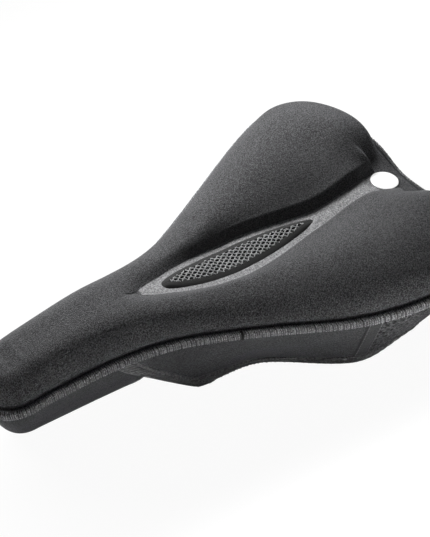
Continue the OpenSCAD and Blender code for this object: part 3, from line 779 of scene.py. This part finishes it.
def fabric(name, color, grain, contrast, relief, sheen, roughness=0.85, patches=0.12):
    """Cloth: grain is the size of its stitches and relief their depth in mm, contrast their light and
    dark, and patches the unevenness over wider areas."""
    material = bpy.data.materials.new(name)
    material.use_nodes = True
    tree = material.node_tree
    link = tree.links.new
    surface = tree.nodes["Principled BSDF"]
    set_sockets(surface, {"Base Color": (*color, 1), "Roughness": roughness, "Sheen Weight": sheen,
                          "Sheen Roughness": 0.45, "Sheen Tint": (0.9, 0.92, 1, 1),
                          "Specular IOR Level": 0.25})
    place = add(tree, "ShaderNodeTexCoord")
    fine = add(tree, "ShaderNodeTexNoise", Scale=1 / (grain * MM), Detail=2.0, Roughness=0.6)
    broad = add(tree, "ShaderNodeTexNoise", Scale=1 / (PATCH_SIZE * MM), Detail=3.0, Roughness=0.5)
    cells = add(tree, "ShaderNodeTexVoronoi", Scale=1 / (grain * CELL_SIZE * MM), Randomness=0.75)
    for node in (fine, broad, cells):
        link(place.outputs["Object"], node.inputs["Vector"])
    stitch = remap(tree, fine.outputs["Fac"], *GRAIN_SPREAD, 1 - contrast, 1 + contrast)
    deep = contrast * CELL_SHARE
    knit = remap(tree, cells.outputs["Distance"], 0, CELL_FAR, 1 + deep, 1 - deep)
    patch = remap(tree, broad.outputs["Fac"], *PATCH_SPREAD, 1 - patches, 1 + patches)
    weave = combine(tree, "MULTIPLY", combine(tree, "MULTIPLY", stitch, knit), patch)
    tint = add(tree, "ShaderNodeVectorMath", "SCALE")
    tint.inputs[0].default_value = color
    link(weave, tint.inputs["Scale"])
    link(tint.outputs[0], surface.inputs["Base Color"])
    rough = remap(tree, fine.outputs["Fac"], 0, 1, roughness - 0.08, min(1, roughness + 0.1))
    link(rough, surface.inputs["Roughness"])
    raised = add(tree, "ShaderNodeBump", Strength=0.7, Distance=relief * MM)
    link(weave, raised.inputs["Height"])
    link(raised.outputs[0], surface.inputs["Normal"])
    return material


SKIN = fabric("skin", (0.041, 0.041, 0.0425), 0.6, 1.0, 0.2, 0.1)
# Channel floor: the same cloth as the skin, its lighter colour is painted sheen and light
PRESSED_PAINTED_SHEEN = fabric("pressed_skin_painted_sheen", (0.19, 0.19, 0.194), 0.8, 0.45, 0.12, 0.1)
SKIRT = fabric("skirt", (0.0384, 0.0384, 0.0397), 0.7, 0.6, 0.15, 0.2)
REAR = fabric("rear_fabric", (0.045, 0.045, 0.046), 1.6, 1.0, 1.2, 0.1)
LINING = fabric("lining", (0.0186, 0.0186, 0.0198), 1.1, 0.3, 0.2, 0.1)
ELASTIC = fabric("elastic", (0.13, 0.13, 0.132), 0.9, 0.45, 0.3, 0.2)
TAPE = fabric("tape", (0.0384, 0.0384, 0.0397), 0.8, 0.25, 0.2, 0.15)
THREAD = fabric("thread", (0.2, 0.2, 0.203), 0.6, 0.9, 0.1, 0.3)
DARK_THREAD = fabric("dark_thread", (0.14, 0.14, 0.142), 0.5, 0.3, 0.1, 0.2)
EDGE = fabric("edge", (0.0434, 0.0434, 0.0446), 0.6, 0.4, 0.25, 0.2)
NET = fabric("net", (0.38, 0.38, 0.384), 0.35, 0.3, 0.06, 0.1, roughness=0.7)
# Near-black film: partly the net's own border, partly painted shade under the slot's far edge; the butt
# joint's threads use it too
FILM_AND_PAINTED_SHADE = fabric("film", (0.0043, 0.0043, 0.0043), 0.5, 0.5, 0.05, 0.0, roughness=0.8)
# Near-black foam: where it shows through the net's holes it is painted shade of the dark well under the vent
FOAM_PAINTED_SHADE = fabric("foam", (0.0186, 0.0186, 0.0186), 1.2, 0.15, 0.3, 0.0)
GEL = fabric("gel", (0.25, 0.32, 0.38), 6, 0.1, 0.1, 0.0, roughness=0.35)
DOTS = fabric("dots", (0.3, 0.3, 0.31), 2.0, 0.1, 0.05, 0.0, roughness=0.6)
BADGE = fabric("badge", (0.95, 0.95, 0.94), 0.6, 0.02, 0.02, 0.0, roughness=0.55, patches=0.01)


# Pieces


def piece(obj, slot, *nodes):
    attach(obj, "root")
    if nodes:
        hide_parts(*nodes)


# Top skin, with a pressed channel floor whose lighter colour is painted sheen
PAINTED_SHEEN_BACK = 8  # tail to the floor's painted sheen
SKIN_WAVE = (30, 0.18, 3)  # unevenness: size, height and seed
SKIN_WAVE_FROM = 8  # height above the foot where it is full
skin_x = stations(70, 240, 90)
outer, slot_col = pad_grid(skin_x, 0, 0)
outer[:, :, 2] += wave(outer, *SKIN_WAVE) * smooth(0, SKIN_WAVE_FROM, outer[:, :, 2] - FOOT_Z)
inner, _ = pad_grid(skin_x, SKIN_T, SKIN_T)
skin_out = both_sides(outer)
row_x = 0.5 * (skin_x[1:] + skin_x[:-1])
in_slot = (row_x < SLOT_FRONT_X) & (row_x > SLOT_REAR_X)
last_col = skin_out.shape[1] - 1
col = np.arange(last_col)
over_slot = (col >= slot_col) & (col < last_col - slot_col)
top_skin = shell("top_skin_fine", skin_out, both_sides(inner), SKIN, ~(in_slot[:, None] & over_slot[None]))
weld(top_skin)
top_skin.data.materials.append(PRESSED_PAINTED_SHEEN)
centres = np.empty(3 * len(top_skin.data.polygons))
top_skin.data.polygons.foreach_get("center", centres)
cx, cy, _ = centres.reshape(-1, 3).T / MM
crest_x, crest_y = crest_pt(skin_x)
middle_y = np.interp(-cx, -crest_x, np.maximum(0.1, crest_y))
bed_y = foot_y(cx, edge_y(cx, middle_y, EDGE_LEAST))
painted_sheen_faces = (np.abs(cy) < bed_y) & (cx < TIP_X - RAMP_LEAD) & (cx > TAIL_X + PAINTED_SHEEN_BACK)
top_skin.data.polygons.foreach_set("material_index", painted_sheen_faces.astype(np.int32))
piece(top_skin, "skin", "top_skin")


# Gel insoles, hidden inside: u is the share of the way from their outer to their inner edge


def gel_lift(x, u):
    r = clip((GEL_FRONT_X - x) / (GEL_FRONT_X - GEL_REAR_X))
    return mix(GEL_EDGE, GEL_H, hill(r) ** GEL_POWER * hill(u) ** 0.5)


def gel_line(x, u):
    """Base surface under the gel."""
    mx, my = crest_pt(x)
    ye = edge_y(mx, my, GEL_LEAST)
    ax, ay = inset(x, mix(SEAT_IN, dome_in(x), GEL_OUT))
    az = mix(base_rim(x, SEAT_IN), CROWN_Z, ease_out(GEL_OUT))
    out = clip(2 * u)
    px = np.where(u < 0.5, mix(ax, mx, out), mx)
    py = np.where(u < 0.5, mix(ay, my, out), mix(my, ye, clip(2 * u - 1)))
    pz = np.where(u < 0.5, mix(az, CROWN_Z, ease_out(out)), CROWN_Z)
    return np.stack([px, py, pz + GAP], -1)


gel_x, gel_u = mesh_of(np.linspace(GEL_FRONT_X, GEL_REAR_X, 46), np.linspace(0, 1, 24))
gel_low = gel_line(gel_x, gel_u)
gel_top = gel_low.copy()
gel_top[:, :, 2] += gel_lift(gel_x, gel_u) - 0.3
for side, sign in SIDES:
    hand = np.array([1, sign, 1])
    gel = shell(f"gel_insole_{side}_fine", gel_top * hand, gel_low * hand, GEL, flip=sign < 0)
    piece(gel, "gel", f"gel_insole_{side}")

# Foam core, between the skin and the lining with its gel
foam_x = stations(30, 90, 36)
foam_top, _ = pad_grid(foam_x, SKIN_T + 1.5 * GAP, FOAM_FLOOR, 0.5)
rear_share = smooth(0.2, 0.8, tail_u(foam_x))[:, None]
over_foot = foam_top[:, :, 2] - foot_height(foam_x)[:, None]
foam_top[:, :, 2] -= FOAM_EASE * rear_share * smooth(0, 6, over_foot)
foam_top = foam_top[:, len(FLANGE_STEPS):]
foam_low = foam_top.copy()
for i, x in enumerate(foam_x):
    mx, my = crest_pt(x)
    edge = max(my, TINY)
    px, py, pz = foam_top[i].T
    span = math.hypot(px[0] - mx, py[0] - edge)
    out = np.hypot(px - mx, np.maximum(0, py - edge)) / max(span, TINY)
    foam_low[i, :, 2] = mix(CROWN_Z, base_rim(x, SEAT_IN), clip(out) ** 2) + GAP
    if GEL_REAR_X < x < GEL_FRONT_X:
        y_out = gel_line(x, 0.0)[1]
        y_in = gel_line(x, 1.0)[1]
        share = clip((y_out - py) / max(y_out - y_in, TINY))
        over_gel = (py < y_out) & (py > y_in)
        foam_low[i, :, 2] += np.where(over_gel, gel_lift(x, share) + GAP, 0)
foam_low[:, :, 2] = np.minimum(foam_low[:, :, 2], foam_top[:, :, 2] - FOAM_LEAST)
# Its near-black under the net is painted shade of the vent's well
foam = shell("foam_core_fine", both_sides(foam_top), both_sides(foam_low), FOAM_PAINTED_SHADE)
weld(foam)
piece(foam, "foam", "foam_core")

# Lining with its grip dots
lining_x = stations(40, 120, 50)
lining_top = both_sides(base_grid(lining_x, 0))
lining = shell("base_lining_fine", lining_top, both_sides(base_grid(lining_x, LINING_T)), LINING)
weld(lining)
piece(lining, "lining", "base_lining")

DOT_RINGS = 7
DOT_TURNS = 24
DOT_POWER = 0.6
DOT_TIP = 0.05
dot_z = CROWN_Z - LINING_T - GAP
dot_points = []
dot_faces = []
lanes = int(WING_W / DOT_PITCH / 2)
for i in range(int(LENGTH / DOT_PITCH) + 1):
    for k in range(-lanes, lanes + 1):
        x = NOSE_X - (i + 0.5) * DOT_PITCH
        y = (k + (i % 2) / 2) * DOT_PITCH
        room = crest_pt(x)[1] if TAIL_C <= x <= NOSE_C else 0
        if abs(y) + DOT_D >= room:
            continue
        dot_faces += ring_faces(len(dot_points), DOT_RINGS, DOT_TURNS)
        for a in np.linspace(0, math.pi / 2, DOT_RINGS):
            radius = max(DOT_TIP, DOT_D / 2 * max(0, math.cos(a)) ** DOT_POWER)
            z = dot_z - DOT_H * math.sin(a)
            for b in np.linspace(0, 2 * math.pi, DOT_TURNS, endpoint=False):
                dot_points.append((x + radius * math.cos(b), y + radius * math.sin(b), z))
dots = new_object("grip_dots_fine", dot_points, dot_faces, DOTS)
piece(dots, "dots", "grip_dots")

# Overlocked edge: a hooked band round the rim, its threads, and its butt joint
rim_x = stations(160, 420, 200)
rim_line = np.stack([*inset(rim_x, 0), flange_z(rim_x, 0)], -1)
loop = np.concatenate([rim_line, rim_line[-2:0:-1] * MIRROR])
loop_x = np.concatenate([rim_x, rim_x[-2:0:-1]])
loop_side = np.concatenate([np.ones(len(rim_x)), -np.ones(len(rim_x) - 2)])
loop_step = np.linalg.norm(np.diff(np.concatenate([loop, loop[:1]]), axis=0), axis=1)
loop_run = np.concatenate([[0], np.cumsum(loop_step)])
ROUND = loop_run[-1]


def rim_pt(s, d, up, under):
    """Point s along the rim from the nose tip and d in, up over the flange or from under the lining."""
    s = np.asarray(s) % ROUND
    i = np.clip(np.searchsorted(loop_run, s, side="right") - 1, 0, len(loop) - 1)
    t = (s - loop_run[i]) / np.maximum(loop_step[i], TINY)
    x = mix(loop_x[i], loop_x[(i + 1) % len(loop)], t)
    px, py = inset(x, d)
    z = np.where(under, under_rim(x, d), flange_z(x, d)) + up
    return np.stack([px, loop_side[i] * py, z], -1)


# Sections of the band and of a thread: distance in, height, and whether that is from under the lining
EDGE_TOP = SEW_GAP + EDGE_T
HOOK = [(EDGE_REACH, EDGE_TOP - 0.35, False), (EDGE_REACH - 0.5, EDGE_TOP, False),
        (0.9, EDGE_TOP, False), (0.35, EDGE_TOP - 0.25, False), (0.05, EDGE_TOP - 0.8, False),
        (0.05, 0.4 - EDGE_T, True), (0.4, -EDGE_T, True), (EDGE_UNDER, -EDGE_T, True),
        (EDGE_UNDER, 0, True), (EDGE_T, 0, True), (EDGE_T, SEW_GAP, False), (EDGE_REACH, SEW_GAP, False)]
WRAP = [(1.7, EDGE_TOP - 0.1, False), (1.2, EDGE_TOP + 0.18, False), (0.6, EDGE_TOP + 0.15, False),
        (0.0, EDGE_TOP - 0.2, False), (-0.25, EDGE_TOP - 1.0, False), (-0.2, 0.1 - EDGE_T, True),
        (0.4, -EDGE_T - 0.3, True), (1.5, -EDGE_T - 0.25, True)]
OUTER_POINTS = 7
BAND = 900
BAND_FUZZ = (3.0, 0.12, 11)
band_s = np.linspace(0, ROUND, BAND, endpoint=False)
band = np.stack([rim_pt(band_s, d, up, under) for d, up, under in HOOK], 1)
band[:, :OUTER_POINTS, 2] += wave(band, *BAND_FUZZ)[:, :OUTER_POINTS]
band_faces = []
for i in range(BAND):
    for j in range(len(HOOK)):
        a = i * len(HOOK)
        b = (i + 1) % BAND * len(HOOK)
        k = (j + 1) % len(HOOK)
        band_faces.append([a + j, b + j, b + k, a + k])
binding = new_object("edge_binding_fine", band.reshape(-1, 3), band_faces, EDGE)
piece(binding, "overlock", "edge_binding")

r = np.random.default_rng(5)
threads = Threads()
stitch_count = int(ROUND / STITCH)
for q in range(stitch_count):
    s = (q + r.uniform(-0.16, 0.16)) * ROUND / stitch_count
    lean = r.uniform(0.5, 1.1) * 1.2 / (len(WRAP) - 1)
    lift = r.uniform(-0.08, 0.14)
    line = [rim_pt(s + lean * v, d, up + (lift if up > 0 else 0), under)
            for v, (d, up, under) in enumerate(WRAP)]
    threads.tube(line, STITCH_R * r.uniform(0.85, 1.15))
piece(threads.make("edge_stitches", THREAD), "overlock")

joint = Threads()
for shift in (-0.4, 0.0, 0.4):
    joint.tube([rim_pt(JOINT_AT + shift, d - JOINT_UP, up + (0 if under else JOINT_UP), under)
                for d, up, under in WRAP[:OUTER_POINTS]], JOINT_R)
piece(joint.make("edge_joint", FILM_AND_PAINTED_SHADE), "overlock")

# Nose pocket and its hem
pocket_t, pocket_h = mesh_of(np.linspace(0, 1, 80) ** POCKET_CROWD, np.linspace(0, 1, 44))
pocket_x = mix(NOSE_X, mouth(pocket_h) + HEM_W, pocket_t)
pocket_out = both_sides(pocket_pt(pocket_x, pocket_h, 0))
pocket_in = both_sides(pocket_pt(pocket_x, pocket_h, SKIRT_T))
pocket = shell("nose_pocket_fine", pocket_out, pocket_in, SKIRT, flip=True)
weld(pocket)
piece(pocket, "skirt", "nose_pocket")

hem_t, hem_h = shares(9, 120)
folds = 0.25 * np.sin(hem_h * 120 + 1.3 * np.sin(hem_h * 31)) * hill(hem_t) ** 0.5
thin = 1 - hill(np.clip(hem_t, 0.02, 0.98)) ** 0.35
hem_x = mouth(hem_h) + (HEM_W - GAP) * (1 - hem_t)
nose_hem_out = both_sides(pocket_pt(hem_x, hem_h, 0.35 * thin + np.minimum(0.2, folds) + 0.1))
nose_hem_in = both_sides(pocket_pt(hem_x, hem_h, HEM_T - 0.5 * thin))
nose_hem = shell("nose_hem_fine", nose_hem_out, nose_hem_in, ELASTIC, flip=True)
weld(nose_hem)
piece(nose_hem, "elastic", "nose_hem")


# Skirt panels, hems and tapes

PANEL_WAVE = (24, 0.35, 21)
PANEL_SAG = 0.3  # out at the middle of a side panel
REAR_WAVE = (22, 0.3, 8)
HEM_THIN = 0.25  # less thickness at the edges of a hem
FRONT_FOLD = (3.4, 0.35)  # ruffles: pitch and depth
SIDE_FOLD = (4.6, 0.18)
REAR_FOLD = (4.6, 0.2)
ZIGZAG_PITCH = 0.55  # against the ruffles
ZIGZAG_SWING = 0.3  # share of the hem either side of its middle
ZIGZAG_RISE = 0.22
TAPE_ROWS = (0.12, 0.88)  # stitches across the tape
TAPE_STITCH = 0.05  # share of the tape's length
TAPE_PITCH = 0.075


def skirt_patch(start, end, h_top, h_low, rows, cols):
    """Stations and shares of the height between two edges, and the shares along and across the patch."""
    t, v = shares(rows, cols)
    h = mix(h_low, h_top, v)
    return mix(start(h), end(h), t), h, t, v


def panel_start(h):
    return front_edge(h) - FRONT_HEM_W - GAP


def panel_end(h):
    return seam(h) + GAP / 2


def ruffle(run, over, length, pitch, depth):
    """Folds of an elastic at share run of its length and share over of its width."""
    sway = 1.1 * np.sin(run * 17)
    return depth * np.sin(2 * math.pi * run * length / pitch + sway) * hill(over)


def hem(kind, side, sign, start, end, h_top, rows, cols, level, pitch, depth):
    """Ruffled hem down to the lower edge, and its zigzag thread; a level hem runs along its rows."""
    hand = np.array([1, sign, 1])
    x, h, t, v = skirt_patch(start, end, h_top, 1, rows, cols)
    run, over = (t, v) if level else (v, t)
    way = 0 if level else 1
    length = np.linalg.norm(np.diff(skirt_pt(x, h, 0), axis=way), axis=-1).sum(way).max()
    full = pillow(over)
    out = skirt_pt(x, h, (ruffle(run, over, length, pitch, depth) - HEM_OUT) * full)
    back = skirt_pt(x, h, SKIRT_T - HEM_THIN * (1 - full))
    obj = shell(f"{kind}_{side}_fine", out * hand, back * hand, ELASTIC, flip=sign < 0)
    piece(obj, "elastic", f"{kind}_{side}")
    turns = int(length / (pitch * ZIGZAG_PITCH))
    q = np.linspace(0.004, 0.996, turns * 8)
    swing = 0.5 + ZIGZAG_SWING * np.arcsin(np.sin(2 * math.pi * q * turns)) / (math.pi / 2)
    tz, vz = (q, swing) if level else (swing, q)
    hz = mix(1, h_top, vz)
    xz = mix(start(hz), end(hz), tz)
    in_z = (ruffle(q, swing, length, pitch, depth) - HEM_OUT) * pillow(swing) - ZIGZAG_RISE
    zigzag = Threads()
    zigzag.tube(skirt_pt(xz, hz, in_z) * hand, ZIGZAG_R)
    piece(zigzag.make(f"{kind}_{side}_zigzag", DARK_THREAD), "elastic")


def seam_tape(side, sign):
    """Tape over the seam of side and rear panels, with a row of stitches along both its edges."""
    hand = np.array([1, sign, 1])
    half = TAPE_W / 2
    x, h, t, _ = skirt_patch(lambda s: seam(s) + half, lambda s: seam(s) - half, LIP_SHARE, PANEL_LOW, 16, 40)
    out = skirt_pt(x, h, -GAP - TAPE_T * pillow(t, 6))
    tape = shell(f"seam_tape_{side}_fine", out * hand, skirt_pt(x, h, -GAP + 0.2) * hand, TAPE, flip=sign < 0)
    piece(tape, "elastic", f"seam_tape_{side}")
    stitches = Threads()
    rise = np.array([0.0, 0.22, 0.28, 0.22, 0.0])
    for at in TAPE_ROWS:
        for q in np.arange(0.02, 0.97, TAPE_PITCH):
            hq = mix(PANEL_LOW, LIP_SHARE, np.linspace(q, q + TAPE_STITCH, len(rise)))
            xq = seam(hq) + TAPE_W * (0.5 - at)
            stitches.tube(skirt_pt(xq, hq, -GAP - TAPE_T - rise) * hand, TAPE_THREAD_R)
    piece(stitches.make(f"seam_tape_{side}_stitches", DARK_THREAD), "elastic")


for side, sign in SIDES:
    hand = np.array([1, sign, 1])
    x, h, t, v = skirt_patch(panel_start, panel_end, 0, PANEL_LOW, 120, 26)
    slack = (wave(skirt_pt(x, h, 0), *PANEL_WAVE) - PANEL_SAG) * hill(v) * hill(t) ** 0.5
    panel_out = skirt_pt(x, h, slack)
    panel_in = skirt_pt(x, h, slack + SKIRT_T)
    panel = shell(f"side_panel_{side}_fine", panel_out * hand, panel_in * hand, SKIRT, flip=sign < 0)
    piece(panel, "skirt", f"side_panel_{side}")
    hem("front_hem", side, sign, front_edge, lambda s: front_edge(s) - FRONT_HEM_W, LIP_SHARE,
        12, 120, False, *FRONT_FOLD)
    hem("side_hem", side, sign, panel_start, panel_end, 1 - HEM_SHARE, 200, 12, True, *SIDE_FOLD)
    seam_tape(side, sign)


# Rear panel and its hem, right round the tail

SEAM_RUN = 0.3  # share of the rows between the seam and the start of the rounded tail


def rear_station(h, t):
    """Stations from the seam to the tail, close together at the tail."""
    straight = mix(seam(h) - GAP / 2, TAIL_C, clip(t / SEAM_RUN))
    left = 1 - clip((t - SEAM_RUN) / (1 - SEAM_RUN))
    return np.where(t < SEAM_RUN, straight, TAIL_C - TAIL_ROUND * (1 - left ** END_CROWD))


def round_tail(g):
    """Rows of the left half to the tail, then the right half's back to its seam."""
    g[-1, :, 1] = 0
    return np.concatenate([g, g[-2::-1] * MIRROR])


t, v = shares(150, 24)
h = mix(PANEL_LOW, 0, v)
x = rear_station(h, t)
slack = wave(skirt_pt(x, h, 0), *REAR_WAVE) * hill(v)
rear_out = round_tail(skirt_pt(x, h, slack))
rear = shell("rear_panel_fine", rear_out, round_tail(skirt_pt(x, h, slack + SKIRT_T)), REAR)
piece(rear, "rear_fabric", "rear_panel")

t, v = shares(220, 12)
h = mix(1, 1 - HEM_SHARE, v)
x = rear_station(h, t)
step = np.linalg.norm(np.diff(skirt_pt(x, h, 0), axis=0), axis=-1)
run = np.concatenate([np.zeros_like(v[:1]), np.cumsum(step, 0)])
pitch, depth = REAR_FOLD
folds = depth * np.sin(2 * math.pi * run / pitch) * hill(v)
full = pillow(v)
rear_hem_out = round_tail(skirt_pt(x, h, (folds - HEM_OUT) * full))
rear_hem_in = round_tail(skirt_pt(x, h, SKIRT_T - HEM_THIN * (1 - full)))
rear_hem = shell("rear_hem_fine", rear_hem_out, rear_hem_in, ELASTIC)
piece(rear_hem, "elastic", "rear_hem")


# Vent: smooth border that rises to the net, and the net's strands


def crown_z(x, y):
    half = np.maximum(slot_half(x, NET_MARGIN), 0.05)
    bulge = NET_CROWN * smooth(0.5, 5, half) * (1 - clip(np.abs(y) / half) ** 3)
    return floor_height(x) + bed_rise(x) - SKIN_T + NET_LIFT - BORDER_T + bulge


END_TRIM = 0.05
border_from = SLOT_FRONT_X + NET_MARGIN - END_TRIM
border_to = SLOT_REAR_X - NET_MARGIN + END_TRIM
# The border's near-black is partly its own colour and partly painted shade under the slot's far edge
x, v = mesh_of(np.linspace(border_from, border_to, 120), np.linspace(0, 1, 12))
y = mix(slot_half(x, NET_MARGIN), np.maximum(0, slot_half(x) - BORDER_W), v)
for side, sign in SIDES:
    top = np.stack([x, sign * y, crown_z(x, y)], -1)
    border = shell(f"vent_border_{side}_fine", top, top - np.array([0, 0, BORDER_T]), FILM_AND_PAINTED_SHADE, flip=sign < 0)
    piece(border, "film", *(["vent_border"] if sign > 0 else []))

NET_END = 2  # slot's ends to the net
NET_STEP = 0.4
NET_LAP = 0.7  # net over its border
NET_SWING = 0.92 * NET_PITCH_Y / 4
strands = Threads()
strand_count = int(SLOT_W / (NET_PITCH_Y / 2)) + 2
x = np.arange(SLOT_REAR_X + NET_END, SLOT_FRONT_X - NET_END, NET_STEP)
phase = 2 * math.pi * (x - SLOT_FRONT_X) / NET_PITCH_X
for q in range(-strand_count, strand_count + 1):
    sign = 1 if q % 2 == 0 else -1
    y = (q + 0.5) * NET_PITCH_Y / 2 + sign * NET_SWING * np.cos(phase)
    z = crown_z(x, y) - 0.15 + STRAND_WEAVE * np.cos(2 * phase + q * math.pi)
    shown = np.flatnonzero(np.abs(y) < slot_half(x) - BORDER_W + NET_LAP)
    for part in np.split(shown, np.flatnonzero(np.diff(shown) > 1) + 1):
        if len(part) > 2:
            strands.tube(np.stack([x, y, z], -1)[part], STRAND_R, 6)
piece(strands.make("vent_net_fine", NET), "net", "vent_net")

# Plain badge, on the slope of the tail
BADGE_TURNS = 96
badge_x = TAIL_X + NOTCH_DEPTH + BADGE_BACK
badge_z = floor_height(badge_x) + GAP
badge_rim = [(BADGE_D / 2 - 0.45, BADGE_T), (BADGE_D / 2 - 0.15, BADGE_T - 0.1),
             (BADGE_D / 2, BADGE_T - 0.3), (BADGE_D / 2, 0.0)]
badge_points = []
for radius, up in badge_rim:
    for a in np.linspace(0, 2 * math.pi, BADGE_TURNS, endpoint=False):
        ahead = radius * math.cos(a)
        badge_points.append((badge_x + ahead - TAIL_SLOPE * up, radius * math.sin(a),
                             badge_z + up + TAIL_SLOPE * ahead))
badge = new_object("badge_fine", badge_points, ring_faces(0, len(badge_rim), BADGE_TURNS), BADGE)
piece(badge, "badge", "badge")


# Stage, in metres: white floor that keeps a soft shadow, a low lamp behind, a bounce in front, the camera

FLOOR_HALF = 4
FLOOR_LEVEL = -0.0006
FLOOR_SEEN = 0.95  # share of plain white in what is seen of the floor, the rest holds the shadow
WORLD_LEVEL = 0.03
WHITE = (1, 1, 1, 1)
FLOOR_COLOR = (0.9, 0.9, 0.9, 1)


def show_white(tree, out, plain, white, amount):
    """Plain shader for the light, and an amount of white for the rays that look at the background."""
    path = add(tree, "ShaderNodeLightPath").outputs
    seen = combine(tree, "MAXIMUM", path["Is Camera Ray"], path["Is Glossy Ray"])
    seen = combine(tree, "MAXIMUM", seen, path["Is Transmission Ray"])
    share = remap(tree, seen, 0, 1, 0, amount)
    blend = add(tree, "ShaderNodeMixShader")
    tree.links.new(share, blend.inputs[0])
    tree.links.new(plain.outputs[0], blend.inputs[1])
    tree.links.new(white.outputs[0], blend.inputs[2])
    tree.links.new(blend.outputs[0], out.inputs["Surface"])


floor_material = bpy.data.materials.new("floor")
floor_material.use_nodes = True
tree = floor_material.node_tree
tree.nodes.clear()
show_white(tree, add(tree, "ShaderNodeOutputMaterial"),
           add(tree, "ShaderNodeBsdfDiffuse", Color=FLOOR_COLOR),
           add(tree, "ShaderNodeEmission", Color=WHITE, Strength=1.0), FLOOR_SEEN)
floor_mesh = bpy.data.meshes.new("floor")
floor_corners = ((-1, -1), (1, -1), (1, 1), (-1, 1))
floor_points = [(FLOOR_HALF * i, FLOOR_HALF * j, FLOOR_LEVEL) for i, j in floor_corners]
floor_mesh.from_pydata(floor_points, [], [[0, 1, 2, 3]])
floor_mesh.materials.append(floor_material)
floor = bpy.data.objects.new("floor", floor_mesh)
bpy.context.scene.collection.objects.link(floor)

world = bpy.data.worlds.new("studio")
bpy.context.scene.world = world
world.use_nodes = True
tree = world.node_tree
tree.nodes.clear()
show_white(tree, add(tree, "ShaderNodeOutputWorld"),
           add(tree, "ShaderNodeBackground", Color=WHITE, Strength=WORLD_LEVEL),
           add(tree, "ShaderNodeBackground", Color=WHITE, Strength=1.0), 1.0)


def facing(at, back, roll=0.0):
    """Place of a lamp or camera that looks along -back, turned by roll about that line."""
    back = np.array(back) / np.linalg.norm(back)
    right = np.cross((0, 0, 1), back)
    right /= np.linalg.norm(right)
    up = np.cross(back, right)
    turned = math.cos(roll) * right + math.sin(roll) * up
    upright = math.cos(roll) * up - math.sin(roll) * right
    return Matrix([[turned[i], upright[i], back[i], at[i]] for i in range(3)] + [[0, 0, 0, 1]])


def lamp(name, at, target, size, watts, spread=math.pi):
    data = bpy.data.lights.new(name, "AREA")
    data.shape = "RECTANGLE"
    data.size, data.size_y = size
    data.energy = watts
    data.spread = spread
    obj = bpy.data.objects.new(name, data)
    bpy.context.scene.collection.objects.link(obj)
    obj.matrix_world = facing(at, np.array(at) - np.array(target))


lamp("key", (0.0, -0.24, 0.222), (0, 0, 0.05), (0.6, 0.04), 3.6)
lamp("bounce", (0.06, 0.26, 0.4), (0.06, 0.21, 0), (0.55, 0.04), 3.1, math.radians(25))

# Camera at the photograph's viewing angle
AZ = math.radians(28.913)
EL = math.radians(46.1615)
ROLL = math.radians(-4.8694)
EYE = (0.34112, 0.63396, 0.79908)
FOCAL_PX = 1924.96
IMAGE_W = 430
SENSOR_W = 36
cam = bpy.data.cameras.new("camera")
cam.sensor_fit = "HORIZONTAL"
cam.sensor_width = SENSOR_W
cam.lens = SENSOR_W * FOCAL_PX / IMAGE_W
cam.clip_start = 0.05
cam.clip_end = 20
camera = bpy.data.objects.new("camera", cam)
bpy.context.scene.collection.objects.link(camera)
view_line = (math.sin(AZ) * math.cos(EL), math.cos(AZ) * math.cos(EL), math.sin(EL))
camera.matrix_world = facing(EYE, view_line, ROLL)
bpy.context.scene.camera = camera
bpy.context.scene.view_settings.view_transform = "Standard"
